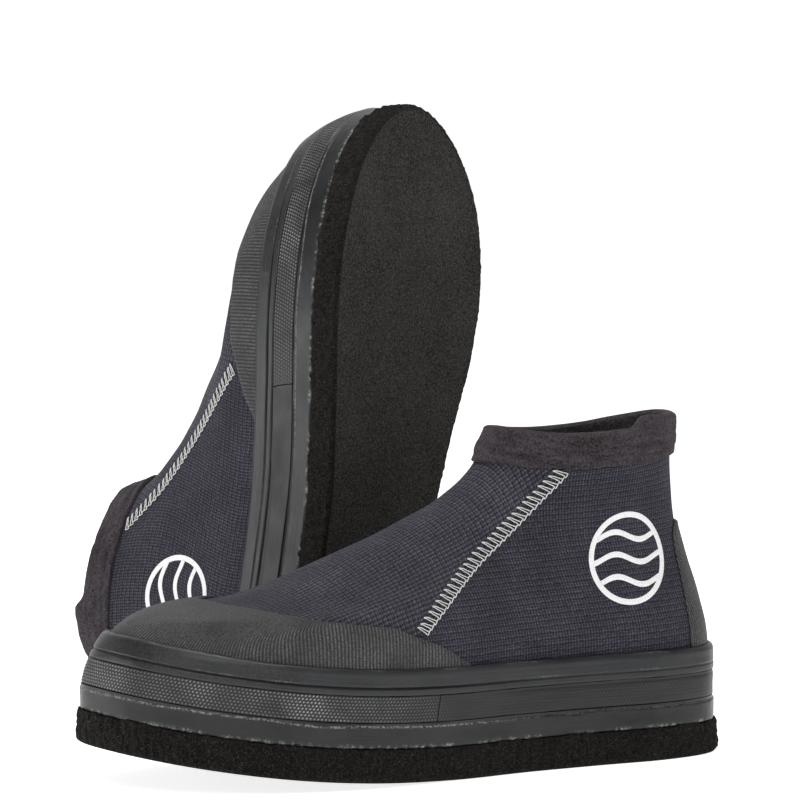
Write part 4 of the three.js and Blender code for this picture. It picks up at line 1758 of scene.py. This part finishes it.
@dataclass
class ToeCap:
    """The ribbed cap over the toe, its curved top edge thinned down to the knit."""

    columns: int = 360
    low_key: float = 27.0
    mid_key: float = 50.0
    low_rows: int = 12
    high_rows: int = 52
    edge: float = 2.2
    thin: float = 0.55
    seed: int = 61

    def build(self, boot: Boot) -> None:
        """Builds the piece.

        Args:
            boot: The boot it is for.
        """
        last, s, draft = boot.last, boot.last.sizes, Draft()
        grain = Grain(self.seed)
        end = math.acos(2 * TOE_CAP_TOP[0][0] - 1)
        theta = np.linspace(-end, end, self.columns + 1)
        top = last.cap_top.at((1 + np.cos(theta)) / 2)
        top = np.maximum(top, self.mid_key + 0.05)
        low = np.tile(np.linspace(self.low_key, self.mid_key, self.low_rows), (len(theta), 1))
        t = np.arange(1, self.high_rows + 1) / self.high_rows
        t = 1 - (1 - t) ** 1.25
        high = mix(self.mid_key, top[:, None], t[None])
        level = last.level(np.concatenate([low, high], 1))
        turn = np.broadcast_to(theta[:, None], level.shape)
        spot = last.skin(turn, level, 0.0)
        ragged = 0.35 * grain.rough(spot[:, -1], 9.0)
        level = level + np.linspace(0, 1, level.shape[1])[None] ** 6 * np.minimum(ragged, 0.25)[:, None]
        spot = last.skin(turn, level, 0.0)
        left = np.linalg.norm(spot - spot[:, -1:], axis=-1)
        thick = mix(self.thin, s.skin, smooth(0, self.edge, left))
        thick[:, -1] = 0.18
        outside = last.skin(turn, level, s.skin_gap + thick + 0.05 * grain.at(spot, 8.0) * (left > 1))
        inside = last.skin(turn, level, s.skin_gap)
        add_shell(draft, outside, inside, self.coords(last, outside, theta, turn))
        boot.finish(draft, "toe_cap", "cap_rubber", [boot.kit.cap])

    def coords(self, last: Last, points: Array, theta: Array, turn: Array) -> Array:
        """Surface coordinates whose ribs stand upright on the sides and fan out over the toe.

        Args:
            last: The last.
            points: The cap's outside.
            theta: The columns' turns.
            turn: The turn of each point.

        Returns:
            Two coordinates for each point.
        """
        run = lengths(points, 0)[:, 0]
        run = run - np.interp(0.0, theta, run)
        beside = last.theta_at(points[..., 0], last.level(self.low_key))
        upright = np.interp(np.sign(turn) * beside, theta, run)
        across = mix(np.interp(turn, theta, run), upright, smooth(0.3, 0.9, np.abs(turn)))
        return np.stack([across, lengths(points, 1)], -1)


@dataclass
class HeelCap:
    """The narrow ribbed shield up the heel, with rounded top corners."""

    columns: int = 72
    rows: int = 150
    keys: Pair = (27.0, 106.0)
    reach: Pair = (19.0, 23.0)
    corner: float = 11.0

    def build(self, boot: Boot) -> None:
        """Builds the piece.

        Args:
            boot: The boot it is for.
        """
        last, s, draft = boot.last, boot.last.sizes, Draft()
        t = np.linspace(0, 1, self.rows + 1)
        key = mix(self.keys[0], self.keys[1], 1 - (1 - t) ** 1.4)
        level = last.level(key)
        wide = last.theta_at(mix(self.reach[0], self.reach[1], (key - 50) / 56), level)
        start = self.keys[1] - self.corner + 1
        corner = np.sqrt(np.maximum(0, 1 - (np.maximum(0, key - start) / self.corner) ** 2))
        half = (math.pi - wide) * mix(0.45, 1, corner)
        a = np.linspace(-1, 1, self.columns + 1)
        turn = math.pi + a[:, None] * half[None]
        levels = np.broadcast_to(level[None], turn.shape)
        edge = np.minimum(1, np.minimum((1 - np.abs(a))[:, None] * 12, ((1 - t) * 30)[None]))
        thick = mix(0.3, s.skin, edge)
        outside = last.skin(turn, levels, s.skin_gap + thick)
        inside = last.skin(turn, levels, s.skin_gap)
        add_shell(draft, outside, inside, surface_coords(outside, middle=self.columns // 2))
        boot.finish(draft, "heel_cap", "cap_rubber", [boot.kit.heel])


@dataclass
class Panel:
    """One neoprene panel: knit outside, lining inside."""

    columns: int
    rows: int = 116
    joint: float = 0.2

    def sheet(self, boot: Boot, turn: Array, level: Array, name: str, knit: Material,
              spread: Callable[[Array], Array]) -> None:
        """Builds the thick sheet over a grid of turns and levels.

        Args:
            boot: The boot.
            turn: The turn of each point.
            level: The level of each point.
            name: The piece's name.
            knit: The outside's material.
            spread: Gives the surface coordinates of its points.
        """
        last, s, draft = boot.last, boot.last.sizes, Draft()
        outside = last.skin(turn, level, 0.0)
        inside = last.skin(turn, level, -s.neoprene)
        add_shell(draft, outside, inside, spread(outside), lining=1)
        boot.finish(draft, name, "neoprene", [knit, boot.kit.lining])

    def levels(self, boot: Boot) -> Array:
        """The rows' levels from the sole to the cuff."""
        s = boot.last.sizes
        return np.linspace(s.midsole_top + s.gap, s.cuff_height, self.rows + 1)


@dataclass
class Vamp(Panel):
    """The front panel over the toes and instep."""

    columns: int = 240

    def build(self, boot: Boot) -> None:
        """Builds the piece.

        Args:
            boot: The boot it is for.
        """
        level = self.levels(boot)
        reach = boot.last.seam_theta(level, self.joint)
        turn = np.linspace(-1, 1, self.columns + 1)[:, None] * reach[None]
        levels = np.broadcast_to(level[None], turn.shape)
        self.sheet(boot, turn, levels, "vamp", boot.kit.vamp, self.folded)

    def folded(self, points: Array) -> Array:
        """Surface coordinates of a cloth folded along the instep and laid down both sides."""
        side = np.where(points[..., 1] >= 0, 1.0, -1.0)
        return np.stack([-points[..., 0], points[..., 2] - side * points[..., 1]], -1)


@dataclass
class Quarter(Panel):
    """A side panel from the slanting seam to the heel."""

    side: Side = Side.OUTER
    columns: int = 170
    heel_join: float = 0.004

    def build(self, boot: Boot) -> None:
        """Builds the piece.

        Args:
            boot: The boot it is for.
        """
        level = self.levels(boot)
        start = boot.last.seam_theta(level, -self.joint)
        share = np.linspace(0, 1, self.columns + 1)
        turn = mix(start[None], math.pi - self.heel_join, share[:, None]) * self.side.value
        levels = np.broadcast_to(level[None], turn.shape)
        name = f"{self.side.name.lower()}_quarter"
        self.sheet(boot, turn, levels, name, boot.kit.quarter, self.from_heel)

    def from_heel(self, points: Array) -> Array:
        """Surface coordinates measured from the heel seam."""
        return surface_coords(points, self.columns)


@dataclass
class CuffBinding:
    """The soft binding folded over the cuff's edge."""

    around: int = 900
    puff: float = 0.55
    pucker: float = 0.22
    pucker_size: Triple = (6.0, 6.0, 26.0)
    swell: float = 0.55
    swell_size: Triple = (18.0, 18.0, 9.0)
    fuzz: float = 0.16
    fuzz_size: float = 3.0
    creases: Pair = (3.2, 9.6)
    fin: float = 4.6
    fin_at: Pair = (27.0, 34.0)
    seed: int = 71

    def build(self, boot: Boot) -> None:
        """Builds the piece.

        Args:
            boot: The boot it is for.
        """
        last, s, draft = boot.last, boot.last.sizes, Draft()
        grain = Grain(self.seed)
        top = s.cuff_height
        out = s.gap + s.binding
        face = -s.neoprene - s.gap
        inner = face - s.binding + 0.2
        middle, half = (out + inner) / 2, (out - inner) / 2
        low_out, low_in = top - s.binding_outer, top - s.binding_inner
        turn = np.linspace(0, math.pi, 15)[1:-1]
        outer_rows = np.linspace(low_out + 0.7, top - 0.6, 16)
        inner_rows = np.linspace(top - 0.6, low_in + 0.7, 10)
        bulge = self.puff * np.sin(np.pi * np.linspace(0.02, 1, 16))
        level = np.concatenate([
            [low_out, low_out, low_out + 0.25], outer_rows,
            top - 0.6 + (s.gap + s.binding + 0.6) * np.sin(turn), inner_rows,
            [low_in + 0.2, low_in, low_in, top + s.gap, top + s.gap],
        ])
        offset = np.concatenate([
            [s.gap, out - 0.6, out - 0.15], out - 0.1 + bulge, middle + half * np.cos(turn),
            np.full(10, inner), [inner + 0.1, inner + 0.5, face, face, s.gap],
        ])
        theta = full_turn(self.around)
        place = last.upper(theta[:, None], level[None])
        shown = np.ones(len(level))
        shown[0] = 0
        shown[-3:] = 0
        ripple = grain.at(place, self.pucker_size) * self.pucker
        ripple = ripple + grain.at(place, self.swell_size) * self.swell
        ripple = ripple + grain.rough(place, self.fuzz_size) * self.fuzz
        for up, deep in zip(self.creases, (0.35, 0.3)):
            wander = 0.9 * grain.at(place * (1, 1, 0) + up, 22.0)
            ripple = ripple - deep * bell(level[None] - top + s.binding_outer - up + wander, 0.7)
        offsets = offset[None] + shown * np.where(offset[None] > middle, ripple, -ripple)
        rim = place[:, 0] * (1, 1, 0)
        wavy = 0.6 * grain.at(rim, 11.0)
        shift = np.zeros_like(offsets)
        shift[:, :3] = np.minimum(wavy, 0.25)[:, None]
        crown = (level > top).astype(float)
        lift = 0.5 * grain.at(rim + 31, 14.0) + 0.9 * grain.at(rim, 33.0)
        ahead = place[:, 0, 0] - place[:, 0, 0].min()
        lift = np.clip(lift, -0.25, 1.4) * smooth(8, 24, ahead) - 0.2
        near, far = self.fin_at
        lift = lift + self.fin * (theta < math.pi) * smooth(-2, near, ahead) * smooth(far, near, ahead)
        shift = shift + crown[None] * shown * lift[:, None]
        points = last.skin(theta[:, None], level[None] + shift, offsets)
        add_band(draft, points, closed=True)
        boot.finish(draft, "cuff_binding", "binding", [boot.kit.binding])


@dataclass
class Footbed:
    """A flat layer inside the boot: the insole board or the soft insole on it."""

    name: str
    low: float
    thickness: float
    inset: float
    trim: float
    slot: str
    rounded: float = 0.0
    hollow: float = 0.0
    heel_spot: Triple = (38.0, 30.0, 22.0)
    ball_spot: Triple = (205.0, 42.0, 34.0)
    around: int = 400

    def spot(self, flat: Array, where: Triple) -> Array:
        """A soft round hollow, given by its x and its half length and half width."""
        x, half_length, half_width = where
        return np.exp(-(((flat[..., 0] - x) / half_length) ** 2) - (flat[..., 1] / half_width) ** 2)

    def build(self, boot: Boot, finish: Material) -> None:
        """Builds the piece.

        Args:
            boot: The boot.
            finish: Its material.
        """
        last, draft = boot.last, Draft()
        high = self.low + self.thickness
        turn = np.linspace(0, math.pi / 2, 6)[1:]
        height = np.concatenate([[self.low], high - self.rounded * (1 - np.sin(turn))])
        inset = np.concatenate([[self.inset], self.inset + self.rounded * 1.2 * (1 - np.cos(turn))])
        wall = last.sole_wall(self.around, height, inset)
        share = (wall[..., 0] - last.edge.heel) / (last.edge.toe - last.edge.heel)
        wall[..., 0] -= self.trim * np.clip(share, 0, 1) ** 4
        number = add_wall(draft, last.sprung(wall))

        def face(level: float, dip: float) -> Callable[[Array], Array]:
            """Points of a face at one level, hollowed a little under the foot.

            Args:
                level: The face's height.
                dip: How deep it is hollowed.

            Returns:
                A function from flat points to final ones.
            """

            def finish_points(flat: Array) -> Array:
                """The face's final points.

                Args:
                    flat: The flat points.

                Returns:
                    The final points.
                """
                out = np.array(flat)
                spots = self.spot(flat, self.heel_spot) + self.spot(flat, self.ball_spot)
                out[..., 2] = level - dip * spots
                return last.sprung(out)

            return finish_points

        add_leaf(draft, number[:, 0], wall[:, 0], face(self.low, 0.0), 2, top=False)
        add_leaf(draft, number[:, -1], wall[:, -1], face(high, self.hollow), 40, top=True)
        boot.finish(draft, self.name, self.slot, [finish])


@dataclass
class SeamThread:
    """The overlock seam along the joint: a stepped edge thread with narrow loops to the toe side."""

    side: Side
    low_key: float = 65.5
    pitch: float = 3.45
    half: float = 2.6
    slant: float = 1.7
    open: float = 1.5
    radius: float = 0.26
    rest: float = 0.31
    jitter: float = 0.15
    uneven: float = 0.2
    seed: int = 7

    def build(self, boot: Boot) -> None:
        """Builds the piece.

        Args:
            boot: The boot it is for.
        """
        last, s, draft = boot.last, boot.last.sizes, Draft()
        low = float(last.level(self.low_key))
        high = s.cuff_height - s.binding_outer - 0.6
        level = np.linspace(low, high, 800)
        line = last.sprung(last.upper(last.seam_theta(level), level))
        run = lengths(line, 0)
        slope = np.gradient(last.seam_x(level), level)
        wide = np.linalg.norm(np.stack([slope, np.ones_like(slope)], 1), axis=1)

        def spot(along: Array, across: Array, lift: Array) -> tuple[Array, Array]:
            """A place on the cloth beside the joint, and the surface's normal there.

            Args:
                along: How far up the joint, in millimetres.
                across: How far to the toe side of it.
                lift: How far above the cloth.

            Returns:
                The place and the normal.
            """
            at = np.clip(along, 0, run[-1])
            z = np.interp(at, run, level)
            tall, steep = np.interp(at, run, wide), np.interp(at, run, slope)
            x = last.seam_x(z) + across / tall
            z = z - across * steep / tall
            z = np.minimum(z, high)
            turn = last.theta_at(x, z) * self.side.value
            return last.skin(turn, z, lift), last.normal(turn, z)

        def lay(along: Sequence[float], across: Sequence[float], lift: Sequence[float], each: int) -> None:
            """Lays one thread through places on the cloth.

            Args:
                along: How far up the joint each place is.
                across: How far to the toe side of it.
                lift: How far above the cloth.
                each: How many steps from one place to the next.
            """
            knots = np.stack([along, across, lift], 1)
            t = np.linspace(0, len(knots) - 1, (len(knots) - 1) * each + 1)
            i = np.clip(np.floor(t).astype(int), 0, len(knots) - 2)
            f = (t - i)[:, None]
            a, b = knots[np.maximum(i - 1, 0)], knots[i]
            c, d = knots[i + 1], knots[np.minimum(i + 2, len(knots) - 1)]
            path = between(a, b, c, d, f)
            points, normals = spot(path[:, 0], path[:, 1], path[:, 2])
            tube(draft, points, normals, self.radius, flat=0.85)

        count = int((run[-1] - 2.0) / self.pitch)
        chance = np.random.default_rng(self.seed)
        edge_along, edge_across, edge_lift = [], [], []
        for i in range(count + 1):
            at = 0.8 + i * self.pitch + chance.uniform(-self.jitter, self.jitter)
            reach = self.half + chance.uniform(-self.uneven, self.uneven)
            back = -self.half
            tip = at - self.slant * chance.uniform(0.8, 1.15)
            tip = max(tip, 0.0)
            loop_along = [at - 0.15, mix(at, tip, 0.35), mix(at, tip, 0.8) - 0.2, tip - 0.25, tip + 0.2,
                          mix(at, tip, 0.6) + 0.75, mix(at, tip, 0.3) + 1.1, at + self.open]
            loop_across = [back, mix(back, reach, 0.35), mix(back, reach, 0.85), reach - 0.05, reach - 0.1,
                           mix(back, reach, 0.7), mix(back, reach, 0.35), back + 0.1]
            bow = [0.1, 0.25, 0.3, 0.15, 0.15, 0.3, 0.25, 0.1]
            lay(loop_along, loop_across, [self.rest + b for b in bow], 4)
            edge_along += [at - 0.2, at + self.pitch * 0.45, at + self.pitch * 0.78]
            edge_across += [back - 0.55, back - 0.05, back + 0.12]
            edge_lift += [self.rest + 0.12, self.rest + 0.35, self.rest + 0.4]
        lay(edge_along, edge_across, edge_lift, 6)
        name = f"{self.side.name.lower()}_seam_thread"
        boot.finish(draft, name, "thread", [boot.kit.thread])


@dataclass
class BackTape:
    """The tape over the heel seam, inside the boot."""

    half: float = 6.0
    lift: float = 0.6
    bow: float = 1.15
    start: float = 3.0
    columns: int = 24
    rows: int = 110

    def build(self, boot: Boot) -> None:
        """Builds the piece.

        Args:
            boot: The boot it is for.
        """
        last, s, draft = boot.last, boot.last.sizes, Draft()
        low = s.midsole_top + s.board + s.insole + self.start
        level = np.linspace(low, s.cuff_height - s.binding_inner - 0.8, self.rows + 1)
        a = np.linspace(-1, 1, self.columns + 1)
        face = last.skin(math.pi, level, -s.neoprene - s.gap - 0.1)
        y = a[:, None] * self.half * np.ones_like(level)[None]
        bow = self.bow * a[:, None] ** 2
        x = face[None, :, 0] + bow
        z = np.broadcast_to(face[None, :, 2], x.shape)
        under = np.stack([x, y, z], -1)
        rounded = self.lift * np.sqrt(np.maximum(0.1, 1 - a**2))[:, None]
        over = np.stack([x + rounded, y, z], -1)
        add_shell(draft, over, under, surface_coords(over))
        boot.finish(draft, "back_seam_tape", "binding", [boot.kit.binding])


@dataclass
class Roundel:
    """The plain printed mark: a ring round three water lines."""

    centre_x: float = 51.0
    centre_key: float = 92.0
    radius: float = 21.0
    line: float = 2.6
    sink: float = 0.04
    thickness: float = 0.16
    swing: float = 2.0
    spacing: float = 0.48
    waves: float = 1.5
    rounds: int = 12
    around: int = 240
    along: int = 120
    across: int = 6

    def lay(self, boot: Boot, draft: Draft, flat: Array, closed: bool) -> None:
        """Lays a flat grid of ink on the outer quarter.

        Args:
            boot: The boot.
            draft: The piece.
            flat: The grid's places on the flat mark.
            closed: True when the grid is a ring.
        """
        last = boot.last
        level = float(last.level(self.centre_key)) + flat[..., 1]
        turn = last.theta_at(self.centre_x + flat[..., 0], level)
        rim = np.ones(flat.shape[1])
        rim[0] = rim[-1] = 0.25
        over = last.skin(turn, level, self.sink + self.thickness * rim)
        under = last.skin(turn, level, self.sink)
        if closed:
            section = np.concatenate([over, under[:, ::-1]], 1)
            add_band(draft, section, closed=True)
        else:
            add_shell(draft, over, under, flat)

    def build(self, boot: Boot) -> None:
        """Builds the piece.

        Args:
            boot: The boot it is for.
        """
        draft = Draft()
        inner = self.radius - self.line
        turn = full_turn(self.around)
        reach = np.linspace(self.radius, inner, self.across + 1)
        ring = np.stack([np.cos(turn)[:, None] * reach, np.sin(turn)[:, None] * reach], -1)
        self.lay(boot, draft, ring, closed=True)
        for row in (-self.spacing, 0.0, self.spacing):
            step = np.linspace(-0.5, 0.5, self.across + 1)[None] * self.line
            end = np.full((2, self.across + 1), inner)
            for sign, side in ((-1, 0), (1, 1)):
                for _ in range(self.rounds):
                    wave = self.swing * np.sin(sign * end[side] / self.radius * math.pi * self.waves)
                    y = row * self.radius + wave + step[0]
                    end[side] = np.sqrt(np.maximum(0, (inner - 0.05) ** 2 - y**2))
            x = mix(-end[0][None], end[1][None], np.linspace(0, 1, self.along + 1)[:, None])
            y = row * self.radius + self.swing * np.sin(x / self.radius * math.pi * self.waves) + step
            self.lay(boot, draft, np.stack([x, y], -1), closed=False)
        boot.finish(draft, "outer_mark", "print", [boot.kit.ink])


# ---- one boot and the studio ---------------------------------------------------------------
class BootMaker:
    """Builds every piece of one boot from the ground up."""

    def __init__(self, foot: Foot, kit: Kit) -> None:
        """Prepares the boot's last and placing."""
        self.boot = Boot(foot, Last(SIZES), placing_of(foot), kit)

    def build(self) -> None:
        """Builds the sole, the bands, the upper and the trimmings."""
        boot, s, kit = self.boot, SIZES, self.boot.kit
        board_low = s.midsole_top + s.gap
        inset = s.band + s.neoprene
        board = Footbed("insole_board", low=board_low, thickness=s.board, inset=inset + 0.9, trim=4.5,
                        slot="insole_board", rounded=0.3)
        insole = Footbed("insole", low=board_low + s.board + s.gap, thickness=s.insole, inset=inset + 1.0,
                         trim=5.0, slot="insole_foam", rounded=1.0, hollow=0.5)
        for part in (FeltSole(), Midsole(), Strip(Stretch.TOE), Strip(Stretch.SIDE), UpperFoxing()):
            part.build(boot)
        for part in (ToeCap(), HeelCap(), Vamp(), Quarter(side=Side.OUTER), Quarter(side=Side.INNER)):
            part.build(boot)
        board.build(boot, kit.board)
        insole.build(boot, kit.foam)
        for part in (CuffBinding(), SeamThread(Side.OUTER), SeamThread(Side.INNER), BackTape(), Roundel()):
            part.build(boot)


@dataclass(frozen=True)
class Lamp:
    """A square softbox that faces a point."""

    name: str
    place: Triple
    aim: Triple
    size: float
    power: float

    def hang(self) -> None:
        """Adds the lamp to the scene."""
        data = bpy.data.lights.new(self.name, "AREA")
        data.shape = "SQUARE"
        data.size = self.size
        data.energy = self.power
        lamp = bpy.data.objects.new(self.name, data)
        lamp.location = self.place
        way = Vector(self.aim) - Vector(self.place)
        lamp.rotation_euler = way.to_track_quat("-Z", "Y").to_euler()
        bpy.context.scene.collection.objects.link(lamp)


@dataclass
class Studio:
    """A pale floor, soft light from all round and a long lens."""

    target: Triple = (-0.002, -0.0799, 0.1654)
    azimuth: float = -23.7
    elevation: float = 3.2
    roll: float = -0.6
    distance: float = 1.7
    lens: float = 170.6
    sensor: float = 36.0
    room: float = 0.24
    backdrop: float = 1.05
    backdrop_edge: Pair = (0.35, 0.95)
    floor_half: float = 6.0
    lamps: tuple[Lamp, ...] = (
        Lamp("key", (-0.95, -1.55, 1.5), (-0.05, 0, 0.12), 0.9, 19.0),
        Lamp("fill", (1.5, -1.2, 0.7), (0, 0, 0.12), 1.0, 3.5),
        Lamp("top", (0.1, 0.1, 1.7), (0, 0, 0.1), 0.9, 15.0),
        Lamp("rim", (-1.5, 0.35, 0.25), (-0.14, -0.05, 0.04), 0.7, 9.0),
    )

    def build(self) -> None:
        """Sets up the floor, the light and the camera."""
        self.floor()
        for lamp in self.lamps:
            lamp.hang()
        self.surroundings()
        bpy.context.scene.view_settings.view_transform = "Standard"
        self.camera()

    def surroundings(self) -> None:
        """Sets up a dim white room with a bright backdrop on the far side."""
        world = bpy.data.worlds.new("studio room")
        world.use_nodes = True
        nodes, links = world.node_tree.nodes, world.node_tree.links
        back = next(n for n in nodes if n.type == "BACKGROUND")
        way = nodes.new("ShaderNodeTexCoord")
        facing = nodes.new("ShaderNodeVectorMath")
        facing.operation = "DOT_PRODUCT"
        a = math.radians(self.azimuth)
        facing.inputs[1].default_value = (-math.sin(a), math.cos(a), 0)
        span = nodes.new("ShaderNodeMapRange")
        span.interpolation_type = "SMOOTHSTEP"
        span.inputs["From Min"].default_value = self.backdrop_edge[0]
        span.inputs["From Max"].default_value = self.backdrop_edge[1]
        span.inputs["To Min"].default_value = self.room
        span.inputs["To Max"].default_value = self.backdrop
        links.new(way.outputs["Generated"], facing.inputs[0])
        links.new(facing.outputs["Value"], span.inputs["Value"])
        links.new(span.outputs["Result"], back.inputs["Strength"])
        back.inputs["Color"].default_value = (1, 1, 1, 1)
        bpy.context.scene.world = world

    def floor(self) -> None:
        """Adds the floor."""
        half = self.floor_half
        mesh = bpy.data.meshes.new("floor")
        corners = [(-half, -half, 0), (half, -half, 0), (half, half, 0), (-half, half, 0)]
        mesh.from_pydata(corners, [], [(0, 1, 2, 3)])
        mesh.materials.append(FloorPaint("floor").make())
        floor = bpy.data.objects.new("floor", mesh)
        bpy.context.scene.collection.objects.link(floor)

    def camera(self) -> None:
        """Adds the camera."""
        data = bpy.data.cameras.new("camera")
        data.lens = self.lens
        data.sensor_width = self.sensor
        data.clip_start, data.clip_end = 0.05, 50.0
        camera = bpy.data.objects.new("camera", data)
        a, e = math.radians(self.azimuth), math.radians(self.elevation)
        back = Vector((math.sin(a) * math.cos(e), -math.cos(a) * math.cos(e), math.sin(e)))
        turn = back.to_track_quat("Z", "Y").to_matrix() @ Matrix.Rotation(math.radians(self.roll), 3, "Z")
        camera.matrix_world = Matrix.Translation(Vector(self.target) + back * self.distance) @ turn.to_4x4()
        bpy.context.scene.collection.objects.link(camera)
        bpy.context.scene.camera = camera


def main() -> None:
    """Builds both boots and the studio."""
    logging.basicConfig(level=logging.INFO, format="%(message)s")
    kit = Kit()
    for foot in Foot:
        BootMaker(foot, kit).build()
    Studio().build()


if __name__ == "__main__":
    main()
